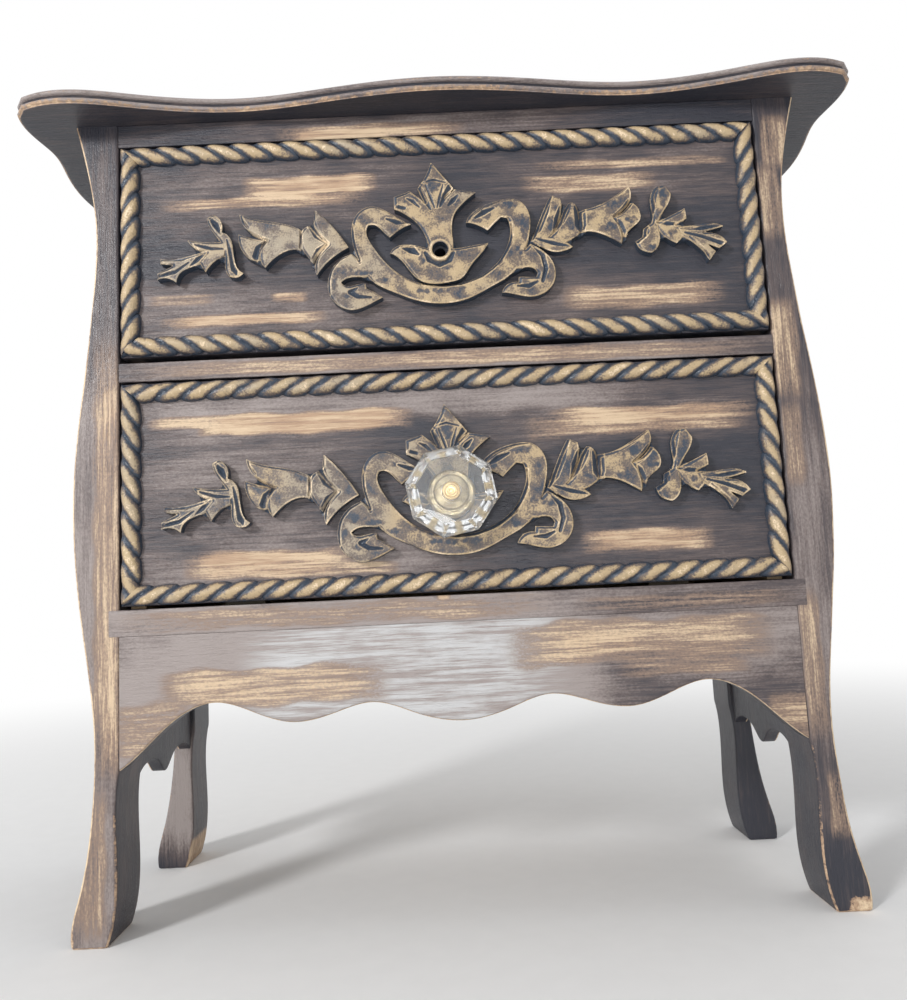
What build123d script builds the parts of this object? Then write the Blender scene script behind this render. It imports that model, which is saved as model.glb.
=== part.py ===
from build123d import *
import os

# Miniature bombe chest of two drawers with rope mouldings, leaf ornament and a glass knob.
# Millimetres. +Z is up, +Y runs from the front to the back, +X to the viewer's right.
# The origin is on the floor, at the middle of the chest's outer box.

os.makedirs("parts", exist_ok=True)

# ---------------------------------------------------------------- driving dimensions
# Carcass
body_height = 324.0          # floor to the underside of the top board
body_depth = 118.5           # fronts of the front posts to the backs of the back posts
opening_half = 131.5         # centre to the inner face of a post
leg_height = 64.0            # floor to the lower corners of the apron
post_depth = 25.0            # front to back, one post
side_thickness = 6.0
side_inset = 2.0             # side panel's face behind the outline of the posts
back_thickness = 4.0
back_rebate = 2.0            # back panel's face in front of the backs of the posts
rail_depth = 18.0            # front to back, each front rail
top_rail_height = 9.6
back_rail_height = 12.0
back_rail_depth = 12.0
divider_top = 222.8
divider_height = 7.8
shelf_top = 124.5
shelf_height = 10.3
shelf_tenon = 4.2            # each end of the shelf rail, housed in its post
apron_thickness = 10.0
board_thickness = 6.0        # bottom board and runners
cleat_width = 12.0
cleat_height = 9.0
block_height = 22.0          # glue block behind the apron
block_width = 10.0

# Top board
top_side_overhang = 23.8     # widest place of a side beyond the flare of the posts
top_back_overhang = 3.5
lip_height = 0.5             # eased arris above and below the beads on the board's edge
lip_draw = 0.6
bead_height = 1.9            # each of the two beads
bead_gap = 1.2               # height of the groove between the beads
bead_groove = 0.9            # depth of that groove

# Drawers
front_thickness = 10.0
front_gap_side = 1.0
front_gap_top = 0.9
front_gap_under_upper = 2.2
front_gap_under_lower = 1.3
drawer_back_gap = 4.5        # drawer's back to the back panel
drawer_side_thickness = 6.0
drawer_side_drop = 10.0      # drawer front's top edge down to the sides' top edges
drawer_bottom_thickness = 3.0
drawer_bottom_lift = 5.0     # from the lower edges of the sides up to the bottom panel
groove_depth = 3.0
running_clearance = 0.3      # drawer sides over their runners, and fronts before their stops
stop_height = 3.5
stop_width = 16.0
stop_place = 85.0            # centre to the middle of a stop

# Mouldings, ornament and knob
rope_width = 8.2
rope_height = 4.0
ornament_height = 4.5
ornament_margin_side = 7.1   # tips of the sprays to the rope mouldings
ornament_margin_top = 5.05   # tip of the palmette to the rope moulding, on the lower front
ornament_boss_radius = 5.0
knob_across = -0.6           # knob hole from the middle of the drawer front
knob_up = -6.5
hole_radius = 2.3
ornament_hole_radius = 3.2
bolt_clearance = 0.3
bolt_end = 5.0               # bolt past the nut
ferrule_radius = 8.0
ferrule_height = 2.4
glass_across = 33.0          # octagon, flat to flat
glass_table = 22.0           # the flat front of the knob, flat to flat
glass_neck = 15.0            # octagon at the ferrule, flat to flat
glass_neck_height = 5.2
glass_band_height = 2.2
glass_bevel_height = 4.4
glass_socket_depth = 7.0
washer_radius = 5.0
washer_thickness = 0.8
nut_across = 7.0
nut_height = 3.2

# Screws and nails
screw_radius = 1.5
screw_head_radius = 3.0
screw_head_height = 1.8
screw_bite = 3.4             # screw's point into the top board
nail_radius = 0.7
nail_head_radius = 1.5
nail_head_height = 0.5
nail_bite = 7.0
fastener_clearance = 0.05
drill_depth = 0.4            # each blind hole past the point of its screw or nail
nail_row = 5                 # back nails in each of the two rows
nail_row_margin = 14.0
row_shares = (0.15, 0.5, 0.85)   # places of the top screws and drawer nails along their rows

# Bombe outline of a post, front view: (width of the post there, share of the body's height).
# Flare under the top, waist, swelling, waist above the leg, splayed foot.
post_outer = [
    (17.7, 1.0), (13.8, 0.951), (9.8, 0.877), (9.8, 0.809), (14.1, 0.673), (18.3, 0.531),
    (15.1, 0.370), (9.9, 0.231), (10.9, 0.145), (15.7, 0.056), (18.5, 0.012), (18.1, 0.0),
]
# Inner edge of a leg: (step outwards from the opening, share of the leg's height).
leg_inner = [(4.7, 0.0), (1.9, 0.17), (1.1, 0.44), (0.0, 1.0)]
# Lower edge of the apron, from the centre: (share of the half opening, rise over the legs).
apron_edge = [
    (0.0, 12.6), (0.137, 16.2), (0.259, 21.0), (0.380, 17.4), (0.502, 15.0), (0.608, 19.2),
    (0.726, 23.6), (0.837, 18.0), (0.913, 9.4), (1.0, -0.2),
]
# Lower edge of a side panel: (share of the way from front post to back post, rise over the legs).
side_edge = [(0.0, -8.0), (0.22, -3.5), (0.38, -6.5), (0.5, -11.5), (0.62, -6.5), (0.78, -3.5), (1.0, -8.0)]
# Top board in plan: (share of its half width, reach before the fronts of the posts).
top_front = [(0.0, 16.4), (0.231, 12.4), (0.462, 7.4), (0.694, 13.2), (0.844, 18.3), (0.951, 14.6)]
# Its sides: (drawn in from the widest place, share of the body's depth behind the posts' fronts).
top_side = [(4.2, -0.076), (2.8, 0.042), (4.8, 0.177), (2.4, 0.32), (0.0, 0.506), (2.4, 0.69), (4.8, 0.83)]
top_rear_draw = 3.4

# Ornament outlines, (across, up) from the knob hole.
scroll_outer = [
    (-11.0, 11.3), (-17.4, 14.8), (-23.4, 18.6), (-28.4, 19.6), (-33.0, 16.8), (-35.4, 11.0),
    (-35.0, 4.0), (-32.4, -4.0), (-27.0, -12.4), (-19.4, -16.8), (-10.4, -20.6), (0.6, -22.4),
    (10.6, -20.8), (19.8, -16.4), (28.6, -11.0), (33.6, -3.4), (36.2, 4.6), (37.0, 11.0),
    (35.4, 16.6), (31.0, 20.2), (24.6, 20.4), (17.4, 18.2), (13.0, 15.0), (11.0, 11.0),
]
scroll_inner = [
    (14.6, 10.0), (19.6, 7.2), (22.4, 10.0), (25.2, 12.6), (27.8, 12.0), (28.8, 8.4), (27.6, 2.0),
    (23.0, -5.6), (16.0, -10.9), (8.0, -13.8), (0.6, -14.7), (-7.4, -13.9), (-15.4, -10.4),
    (-22.4, -4.0), (-27.6, 3.6), (-29.4, 8.8), (-28.6, 11.4), (-26.2, 11.6), (-22.6, 8.8),
    (-19.9, 6.0), (-16.6, 8.6),
]
curl_left = [
    (-36.1, 0.1), (-41.0, -2.2), (-44.4, -6.2), (-45.7, -11.0), (-45.2, -16.4), (-42.4, -20.6),
    (-36.9, -23.4), (-29.4, -21.6), (-23.7, -18.8), (-26.6, -16.8), (-30.2, -14.8),
    (-30.5, -12.6), (-34.4, -12.9), (-38.6, -13.2), (-40.2, -12.0), (-37.4, -10.2),
    (-31.0, -10.0), (-26.0, -8.0), (-30.0, -1.0), (-33.2, -2.6),
]
curl_right = [
    (36.7, 0.8), (41.0, -2.0), (44.4, -5.8), (45.9, -10.4), (45.2, -15.4), (41.8, -19.4),
    (36.6, -21.2), (30.0, -20.2), (24.0, -18.9), (26.6, -15.4), (30.9, -14.8), (31.2, -12.6),
    (34.8, -12.9), (38.2, -13.0), (38.8, -11.4), (36.6, -9.2), (31.6, -9.2), (27.0, -7.0),
    (30.0, -1.0), (34.3, -1.5),
]
palmette = [
    (-3.8, 0.0), (-5.4, 5.4), (-8.2, 10.8), (-12.4, 14.8), (-17.8, 17.8), (-17.8, 23.4),
    (-11.5, 25.4), (-5.6, 20.6), (-8.0, 26.8), (-5.0, 31.0), (-2.2, 37.4), (2.4, 31.2),
    (6.6, 26.0), (3.2, 22.4), (6.8, 25.4), (15.8, 23.6), (9.4, 18.4), (6.2, 14.0), (5.2, 7.0),
    (5.2, 0.0),
]
calyx = [
    (-20.2, -0.6), (-17.4, 2.4), (-12.9, 2.9), (-8.6, 2.0), (-4.4, 0.6), (5.0, 0.2), (11.0, 1.0),
    (19.6, 2.0), (17.0, -1.8), (12.6, -6.6), (7.6, -12.6), (4.0, -13.6), (-6.0, -13.6),
    (-8.6, -12.4), (-13.4, -6.8),
]
# Left spray: leaf pair, sheath, bell, inner petal, crossing twig, leaf pair, end leaves.
spray_left = [
    [(-50.0, 19.2), (-43.4, 12.2), (-36.7, 2.6), (-41.6, -0.2), (-45.4, -3.2), (-49.7, -8.4),
     (-50.4, -3.0), (-48.4, 0.6), (-44.8, 4.4), (-47.6, 7.6), (-50.2, 12.4)],
    [(-52.4, 12.8), (-49.0, 8.4), (-44.9, 4.4), (-49.2, 0.8), (-51.2, -3.0), (-54.8, 1.8),
     (-56.4, 6.6), (-55.4, 10.6)],
    [(-55.9, 10.8), (-60.6, 13.2), (-70.0, 15.4), (-80.6, 19.0), (-78.2, 12.8), (-74.6, 9.6),
     (-69.4, 7.2), (-72.2, 3.8), (-72.4, -0.4), (-70.4, -4.4), (-64.0, 1.2), (-60.0, 2.6),
     (-55.9, 2.2)],
    [(-81.2, 10.4), (-80.8, 6.0), (-78.6, 1.6), (-76.0, -0.8), (-72.0, -1.0), (-71.8, 3.8),
     (-69.4, 7.2), (-75.4, 8.2)],
    [(-93.8, 17.8), (-91.4, 19.0), (-88.2, 16.4), (-87.4, 13.4), (-87.8, 11.4), (-84.4, 8.8),
     (-83.2, 3.2), (-79.2, -6.2), (-81.4, -7.8), (-84.8, -7.4), (-86.4, -4.6), (-86.8, 3.4),
     (-88.4, 7.6), (-92.2, 13.0)],
    [(-86.2, 7.4), (-94.4, 7.6), (-101.8, 8.8), (-98.4, 5.0), (-93.9, 3.6), (-96.9, -0.6),
     (-94.4, -5.2), (-90.4, -0.6), (-86.2, 1.4)],
    [(-93.4, 3.8), (-99.4, 2.6), (-106.4, 1.2), (-112.8, 1.6), (-112.6, -0.8), (-107.6, -1.6),
     (-113.9, -4.6), (-113.9, -7.4), (-108.4, -7.4), (-106.2, -9.0), (-101.0, -3.0),
     (-96.6, -1.4)],
]
# Right spray: two upright leaves, lower leaf, bell, inner petal, crossing twig, leaf pair, end.
spray_right = [
    [(37.0, 2.2), (39.2, 7.4), (42.2, 14.4), (45.8, 21.2), (49.6, 19.4), (49.6, 13.4),
     (46.8, 6.4), (44.4, 3.2)],
    [(46.2, 5.0), (50.2, 13.0), (53.2, 18.0), (56.4, 15.4), (57.5, 11.2), (57.1, 5.2),
     (53.8, 2.2), (50.0, 1.0), (44.4, 3.2)],
    [(37.0, 2.6), (44.4, 3.6), (50.0, 1.4), (53.6, -1.3), (50.6, -2.6), (45.8, -3.0),
     (41.0, -0.8)],
    [(57.0, 14.4), (57.0, 4.7), (60.8, 4.9), (65.0, 3.8), (73.4, -0.9), (73.9, 3.0),
     (70.8, 10.4), (74.4, 13.2), (77.6, 17.0), (77.6, 23.4), (71.0, 19.2), (64.4, 15.8)],
    [(70.6, 10.4), (75.4, 13.2), (78.2, 16.4), (81.4, 12.6), (81.4, 9.0), (78.4, 6.0),
     (75.2, 1.8), (73.2, 4.4)],
    [(86.2, 7.4), (86.8, 11.0), (86.4, 17.0), (88.9, 23.0), (92.2, 23.0), (94.6, 19.4),
     (92.8, 14.4), (88.8, 7.6), (88.9, 1.8), (87.8, -2.8), (85.1, -5.2), (81.0, -3.6),
     (79.2, 0.4), (82.4, 2.2), (82.8, 5.6)],
    [(87.4, 7.2), (93.4, 10.0), (99.8, 13.0), (100.2, 8.4), (95.4, 6.2), (98.2, 1.2),
     (95.5, -1.7), (91.2, 1.2)],
    [(95.0, 6.4), (103.0, 5.8), (111.2, 6.2), (115.0, 4.6), (106.4, 2.4), (113.4, 0.6),
     (115.8, -2.2), (112.4, -4.6), (107.6, -2.4), (111.0, -5.8), (108.2, -9.4), (104.2, -3.2),
     (98.8, 0.8)],
]

# ---------------------------------------------------------------- places worked out
bolt_radius = hole_radius - bolt_clearance
ferrule_face = ornament_height + ferrule_height
glass_neck_end = ferrule_face + glass_neck_height
glass_band_end = glass_neck_end + glass_band_height
glass_reach = glass_band_end + glass_bevel_height
reach_back = body_depth + top_back_overhang
front_y = (glass_reach - reach_back) / 2                # fronts of the posts and drawers
front_back = front_y + front_thickness                  # backs of the drawer fronts
back_y = front_y + body_depth
panel_face = back_y - back_rebate - back_thickness      # front of the back panel
back_rail_face = panel_face - back_rail_depth
rail_back = front_y + rail_depth
post_back = front_y + post_depth
drawer_back = panel_face - drawer_back_gap
top_half = opening_half + post_outer[0][0] + top_side_overhang
top_rail_bottom = body_height - top_rail_height
divider_bottom = divider_top - divider_height
shelf_bottom = shelf_top - shelf_height
front_half = opening_half - front_gap_side
inner_half = front_half - drawer_side_thickness         # inner faces of the drawer sides
panel_half = inner_half + groove_depth                  # drawer bottoms, in their grooves
cleat_inner = opening_half - cleat_width
screw_base = body_height - cleat_height
board_bottom = shelf_top - board_thickness

drawers = {
    "upper": (divider_top, front_gap_under_upper, top_rail_bottom),
    "lower": (shelf_top, front_gap_under_lower, divider_bottom),
}
sides = {"left": -1, "right": 1}

# The ornament is as wide and as tall as its outlines where these are 1, and it fills the same
# share of the drawer front when that front is wider or taller.
front_height = min(top - gap - bottom for bottom, gap, top in drawers.values()) - front_gap_top
spray_reach = max(x for leaf in spray_right for x, z in leaf)
palmette_tip = max(z for x, z in palmette)
ornament_wide = (front_half - rope_width - ornament_margin_side - knob_across) / spray_reach
ornament_tall = (front_height / 2 - rope_width - ornament_margin_top - knob_up) / palmette_tip


def write(name, label):
    """Label a finished piece and write it as its own STEP file."""
    name.part.label = label
    export_step(name.part, f"parts/{label}.step")


def front_plane(y):
    """Sketch plane facing the viewer: its x runs right, its y up, and it extrudes forwards."""
    return Plane(origin=(0, y, 0), x_dir=(1, 0, 0), z_dir=(0, -1, 0))


def board(x0, x1, y0, y1, z0, z1, mode=Mode.ADD):
    """A rectangular board between two corners, in the part in work."""
    with Locations(((x0 + x1) / 2, (y0 + y1) / 2, (z0 + z1) / 2)):
        Box(abs(x1 - x0), y1 - y0, z1 - z0, mode=mode)


def rod(start, direction, radius, length, mode=Mode.ADD):
    """A round rod or bore from a point along a direction, in the part in work."""
    with Locations(Plane(origin=start, z_dir=direction)):
        Cylinder(radius, length, align=(Align.CENTER, Align.CENTER, Align.MIN), mode=mode)


def nail(start, direction, length, head_radius, head_height, radius):
    """A nail or screw: its head starts at the point, and its shank runs on inside the head."""
    rod(start, direction, head_radius, head_height)
    rod(start, direction, radius, length)


def on_front(points, knob_z):
    """Ornament outline, given from the knob hole, placed on a drawer front."""
    return [(knob_across + x * ornament_wide, knob_z + z * ornament_tall) for x, z in points]


# ---------------------------------------------------------------- carcass
post_line = [(opening_half + width, share * body_height) for width, share in post_outer]
leg_line = [(opening_half + step, share * leg_height) for step, share in leg_inner]
panel_line = [(x - side_inset, z) for x, z in post_line]

for word, side in sides.items():
    for place, y in (("front", post_back), ("back", back_y)):
        with BuildPart() as post:
            with BuildSketch(front_plane(y)):
                with BuildLine():
                    Spline(*[(side * x, z) for x, z in post_line])
                    Line((side * post_line[-1][0], 0), (side * leg_line[0][0], 0))
                    Spline(*[(side * x, z) for x, z in leg_line])
                    Line((side * opening_half, leg_height), (side * opening_half, body_height))
                    Line((side * opening_half, body_height), (side * post_line[0][0], body_height))
                make_face()
            extrude(amount=post_depth)
            if place == "front":
                housing_end = side * (opening_half + shelf_tenon)
                board(side * opening_half, housing_end, front_y, rail_back,
                      shelf_bottom, shelf_top, mode=Mode.SUBTRACT)
        write(post, f"{place}_post_{word}")

    with BuildPart() as side_panel:
        with BuildSketch(front_plane(back_y - post_depth)):
            with BuildLine():
                Spline(*[(side * x, z) for x, z in panel_line])
                Spline(*[(side * (x - side_thickness), z) for x, z in panel_line])
                for x, z in (panel_line[0], panel_line[-1]):
                    Line((side * x, z), (side * (x - side_thickness), z))
            make_face()
        panel_span = body_depth - 2 * post_depth
        extrude(amount=panel_span)
        edge = [(post_back + share * panel_span, leg_height + rise) for share, rise in side_edge]
        with BuildSketch(Plane.YZ):
            with BuildLine():
                Spline(*edge)
                Polyline(edge[-1], (edge[-1][0], body_height), (edge[0][0], body_height), edge[0])
            make_face()
        extrude(amount=side * top_half, mode=Mode.INTERSECT)
    write(side_panel, f"side_panel_{word}")

with BuildPart() as back_panel:
    board(-opening_half, opening_half, panel_face, panel_face + back_thickness,
          board_bottom, body_height)
    nail_step = 2 * (opening_half - nail_row_margin) / (nail_row - 1)
    nail_spots = [
        (-opening_half + nail_row_margin + i * nail_step, panel_face + back_thickness, z)
        for z in (body_height - back_rail_height / 2, shelf_top - board_thickness / 2)
        for i in range(nail_row)
    ]
    for spot in nail_spots:
        rod(spot, (0, -1, 0), nail_radius + fastener_clearance, back_thickness, Mode.SUBTRACT)
write(back_panel, "back_panel")

nail_length = back_thickness + nail_bite
with BuildPart() as back_nails:
    for x, y, z in nail_spots:
        nail((x, y + nail_head_height, z), (0, -1, 0), nail_length + nail_head_height,
             nail_head_radius, nail_head_height, nail_radius)
write(back_nails, "back_nails")

with BuildPart() as top_back_rail:
    board(-opening_half, opening_half, back_rail_face, panel_face,
          body_height - back_rail_height, body_height)
    for x, y, z in nail_spots[:nail_row]:
        rod((x, panel_face, z), (0, -1, 0), nail_radius + fastener_clearance,
            nail_bite + drill_depth, Mode.SUBTRACT)
write(top_back_rail, "top_back_rail")

with BuildPart() as bottom_board:
    board(-opening_half, opening_half, rail_back, panel_face, board_bottom, shelf_top)
    for x, y, z in nail_spots[nail_row:]:
        rod((x, panel_face, z), (0, -1, 0), nail_radius + fastener_clearance,
            nail_bite + drill_depth, Mode.SUBTRACT)
write(bottom_board, "bottom_board")

with BuildPart() as top_rail:
    board(-opening_half, opening_half, front_y, rail_back, top_rail_bottom, body_height)
write(top_rail, "top_rail")

with BuildPart() as divider_rail:
    board(-opening_half, opening_half, front_y, rail_back, divider_bottom, divider_top)
write(divider_rail, "divider_rail")

with BuildPart() as shelf_rail:
    shelf_half = opening_half + shelf_tenon
    board(-shelf_half, shelf_half, front_y, rail_back, shelf_bottom, shelf_top)
write(shelf_rail, "shelf_rail")

with BuildPart() as apron:
    apron_right = [(share * opening_half, leg_height + rise) for share, rise in apron_edge]
    apron_left = [(-x, z) for x, z in reversed(apron_right[1:])]
    apron_line = apron_left + apron_right
    with BuildSketch(front_plane(front_y + apron_thickness)):
        with BuildLine():
            Spline(*apron_line)
            Polyline(apron_line[-1], (opening_half, shelf_bottom), (-opening_half, shelf_bottom),
                     apron_line[0])
        make_face()
    extrude(amount=apron_thickness)
write(apron, "apron")

screw_spots = [rail_back + share * (back_rail_face - rail_back) for share in row_shares]
for word, side in sides.items():
    with BuildPart() as top_cleat:
        board(side * cleat_inner, side * opening_half, rail_back, back_rail_face,
              screw_base, body_height)
        for y in screw_spots:
            low = (side * (opening_half - cleat_width / 2), y, screw_base)
            rod(low, (0, 0, 1), screw_radius + fastener_clearance, cleat_height, Mode.SUBTRACT)
            rod(low, (0, 0, 1), screw_head_radius + fastener_clearance,
                screw_head_height, Mode.SUBTRACT)
    write(top_cleat, f"top_cleat_{word}")

    with BuildPart() as upper_runner:
        board(side * cleat_inner, side * opening_half, rail_back, panel_face,
              divider_top - board_thickness, divider_top)
    write(upper_runner, f"upper_runner_{word}")

    with BuildPart() as bottom_cleat:
        board(side * cleat_inner, side * opening_half, post_back, panel_face,
              board_bottom - cleat_height, board_bottom)
    write(bottom_cleat, f"bottom_cleat_{word}")

    with BuildPart() as apron_block:
        board(side * (opening_half - block_width), side * opening_half,
              front_y + apron_thickness, post_back, shelf_bottom - block_height, shelf_bottom)
    write(apron_block, f"apron_block_{word}")

with BuildPart() as top_screws:
    for side in sides.values():
        for y in screw_spots:
            nail((side * (opening_half - cleat_width / 2), y, screw_base), (0, 0, 1),
                 cleat_height + screw_bite, screw_head_radius, screw_head_height, screw_radius)
write(top_screws, "top_screws")

# Top board: two beads with a groove between them, all round its shaped edge.
# Slices of that edge from below: (drawn in from the full plan, height).
edge_slices = [
    (lip_draw, lip_height), (0, bead_height), (bead_groove, bead_gap), (0, bead_height),
    (lip_draw, lip_height),
]
with BuildPart() as top_board:
    level = body_height
    for draw, height in edge_slices:
        half = top_half - draw
        front_run = [(share * half, front_y - reach + draw) for share, reach in top_front]
        side_run = [(half - step, front_y + share * body_depth) for step, share in top_side]
        side_run.append((half - top_rear_draw, front_y + reach_back - draw))
        with BuildSketch(Plane.XY.offset(level)):
            with BuildLine():
                Spline(*[(-x, y) for x, y in reversed(front_run[1:])], *front_run)
                for side in sides.values():
                    Line((side * front_run[-1][0], front_run[-1][1]),
                         (side * side_run[0][0], side_run[0][1]))
                    Spline(*[(side * x, y) for x, y in side_run])
                Line((-side_run[-1][0], side_run[-1][1]), side_run[-1])
            make_face()
        extrude(amount=height)
        level += height
    for side in sides.values():
        for y in screw_spots:
            rod((side * (opening_half - cleat_width / 2), y, body_height), (0, 0, 1),
                screw_radius + fastener_clearance, screw_bite + drill_depth, Mode.SUBTRACT)
write(top_board, "top_board")

# ---------------------------------------------------------------- drawers
for name, (floor, gap_under, ceiling) in drawers.items():
    low = floor + gap_under
    high = ceiling - front_gap_top
    knob_z = (low + high) / 2 + knob_up
    side_low = floor + running_clearance
    side_high = high - drawer_side_drop
    panel_low = side_low + drawer_bottom_lift
    panel_high = panel_low + drawer_bottom_thickness
    nail_heights = [panel_high + share * (side_high - panel_high) for share in row_shares]
    nail_y = drawer_back - drawer_side_thickness / 2

    with BuildPart() as drawer_front:
        board(-front_half, front_half, front_y, front_back, low, high)
        board(-panel_half, panel_half, front_back - groove_depth, front_back,
              panel_low, panel_high, mode=Mode.SUBTRACT)
        rod((knob_across, front_back, knob_z), (0, -1, 0), hole_radius, front_thickness,
            Mode.SUBTRACT)
    write(drawer_front, f"{name}_front")

    for word, side in sides.items():
        with BuildPart() as drawer_side:
            board(side * inner_half, side * front_half, front_back, drawer_back,
                  side_low, side_high)
            board(side * inner_half, side * panel_half, front_back, drawer_back,
                  panel_low, panel_high, mode=Mode.SUBTRACT)
            for z in nail_heights:
                head = (side * front_half, nail_y, z)
                rod(head, (-side, 0, 0), nail_radius + fastener_clearance,
                    drawer_side_thickness, Mode.SUBTRACT)
                rod(head, (-side, 0, 0), nail_head_radius + fastener_clearance,
                    nail_head_height, Mode.SUBTRACT)
        write(drawer_side, f"{name}_side_{word}")

    with BuildPart() as drawer_rear:
        board(-inner_half, inner_half, drawer_back - drawer_side_thickness, drawer_back,
              panel_high, side_high)
        for side in sides.values():
            for z in nail_heights:
                rod((side * inner_half, nail_y, z), (-side, 0, 0),
                    nail_radius + fastener_clearance, nail_bite + drill_depth, Mode.SUBTRACT)
    write(drawer_rear, f"{name}_back")

    with BuildPart() as drawer_bottom:
        board(-panel_half, panel_half, front_back - groove_depth, drawer_back,
              panel_low, panel_high)
    write(drawer_bottom, f"{name}_bottom")

    with BuildPart() as drawer_nails:
        for side in sides.values():
            for z in nail_heights:
                nail((side * front_half, nail_y, z), (-side, 0, 0),
                     drawer_side_thickness + nail_bite, nail_head_radius, nail_head_height,
                     nail_radius)
    write(drawer_nails, f"{name}_drawer_nails")

    with BuildPart() as drawer_stops:
        for side in sides.values():
            board(side * stop_place - stop_width / 2, side * stop_place + stop_width / 2,
                  front_back + running_clearance, rail_back, floor, floor + stop_height)
    write(drawer_stops, f"{name}_drawer_stops")

    # Rope mouldings: half-round bars round the edge of the front, mitred at the corners.
    outer = [(-front_half, low), (front_half, low), (front_half, high), (-front_half, high)]
    inner = [
        (-front_half + rope_width, low + rope_width), (front_half - rope_width, low + rope_width),
        (front_half - rope_width, high - rope_width), (-front_half + rope_width, high - rope_width),
    ]
    for i, word in enumerate(("bottom", "right", "top", "left")):
        j = (i + 1) % 4
        corner = ((outer[i][0] + inner[i][0]) / 2, front_y, (outer[i][1] + inner[i][1]) / 2)
        if word in ("top", "bottom"):
            bar_plane = Plane(origin=corner, x_dir=(0, 0, 1), z_dir=(1, 0, 0))
        else:
            bar_plane = Plane(origin=corner, x_dir=(1, 0, 0), z_dir=(0, 0, 1))
        with BuildPart() as rope:
            with BuildSketch(front_plane(front_y)):
                Polygon(outer[i], outer[j], inner[j], inner[i], align=None)
            extrude(amount=rope_height)
            with BuildSketch(bar_plane):
                Ellipse(rope_width / 2, rope_height)
            extrude(amount=2 * front_half, both=True, mode=Mode.INTERSECT)
        write(rope, f"{name}_rope_{word}")

    # Fretted ornament, glued to the front round the knob hole.
    ornaments = {
        "scroll": [scroll_outer + scroll_inner, curl_left, curl_right],
        "spray_left": spray_left,
        "spray_right": spray_right,
    }
    for word, outlines in ornaments.items():
        with BuildPart() as ornament:
            with BuildSketch(front_plane(front_y)):
                for points in outlines:
                    Polygon(*on_front(points, knob_z), align=None)
            extrude(amount=ornament_height)
        write(ornament, f"{name}_{word}")

    with BuildPart() as palmette_piece:
        with BuildSketch(front_plane(front_y)):
            for points in (palmette, calyx):
                Polygon(*on_front(points, knob_z), align=None)
            with Locations((knob_across, knob_z)):
                Circle(ornament_boss_radius)
                Circle(ornament_hole_radius, mode=Mode.SUBTRACT)
        extrude(amount=ornament_height)
    write(palmette_piece, f"{name}_palmette")
    print(name, "drawer front", round(low, 2), "to", round(high, 2), "knob", round(knob_z, 2),
          "inside", round(panel_high, 2), "to", round(side_high, 2))

# ---------------------------------------------------------------- glass knob, lower drawer
with BuildPart() as knob_ferrule:
    rod((knob_across, front_y - ornament_height, knob_z), (0, -1, 0), ferrule_radius, ferrule_height)
    rod((knob_across, front_y - ornament_height, knob_z), (0, -1, 0),
        bolt_radius + fastener_clearance, ferrule_height, Mode.SUBTRACT)
    fillet(knob_ferrule.edges().filter_by(GeomType.CIRCLE).group_by(Axis.Y)[0].sort_by(
        SortBy.RADIUS)[-1], ferrule_height / 3)
write(knob_ferrule, "knob_ferrule")

with BuildPart() as knob_glass:
    sections = [
        (ferrule_face, glass_neck), (glass_neck_end, glass_across), (glass_band_end, glass_across),
        (glass_reach, glass_table),
    ]
    for (near, across_near), (far, across_far) in zip(sections, sections[1:]):
        for level, across in ((near, across_near), (far, across_far)):
            with BuildSketch(front_plane(front_y - level)):
                with Locations((knob_across, knob_z)):
                    RegularPolygon(across / 2, 8, major_radius=False, rotation=22.5)
        loft()
    rod((knob_across, front_y - ferrule_face, knob_z), (0, -1, 0),
        bolt_radius + fastener_clearance, glass_socket_depth, Mode.SUBTRACT)
write(knob_glass, "knob_glass")

nut_face = front_back + washer_thickness
bolt_start = front_y - ferrule_face - glass_socket_depth
bolt_length = nut_face + nut_height + bolt_end - bolt_start
with BuildPart() as knob_bolt:
    rod((knob_across, bolt_start, knob_z), (0, 1, 0), bolt_radius, bolt_length)
write(knob_bolt, "knob_bolt")

with BuildPart() as knob_washer:
    rod((knob_across, nut_face, knob_z), (0, -1, 0), washer_radius, washer_thickness)
    rod((knob_across, nut_face, knob_z), (0, -1, 0), hole_radius, washer_thickness, Mode.SUBTRACT)
write(knob_washer, "knob_washer")

with BuildPart() as knob_nut:
    with BuildSketch(front_plane(nut_face + nut_height)):
        with Locations((knob_across, knob_z)):
            RegularPolygon(nut_across / 2, 6, major_radius=False)
            Circle(bolt_radius + fastener_clearance, mode=Mode.SUBTRACT)
    extrude(amount=nut_height)
write(knob_nut, "knob_nut")

print("posts and drawers front at y", round(front_y, 3), "drawer length", round(drawer_back - front_y, 2))
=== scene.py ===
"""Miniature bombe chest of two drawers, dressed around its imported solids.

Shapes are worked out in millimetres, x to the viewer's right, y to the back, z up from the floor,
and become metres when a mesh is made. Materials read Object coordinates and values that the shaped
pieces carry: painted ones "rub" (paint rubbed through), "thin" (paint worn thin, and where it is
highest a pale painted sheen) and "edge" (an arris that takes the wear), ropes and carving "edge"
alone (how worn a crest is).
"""

import math

import bpy
import numpy as np
from mathutils import Matrix, Vector


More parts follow.
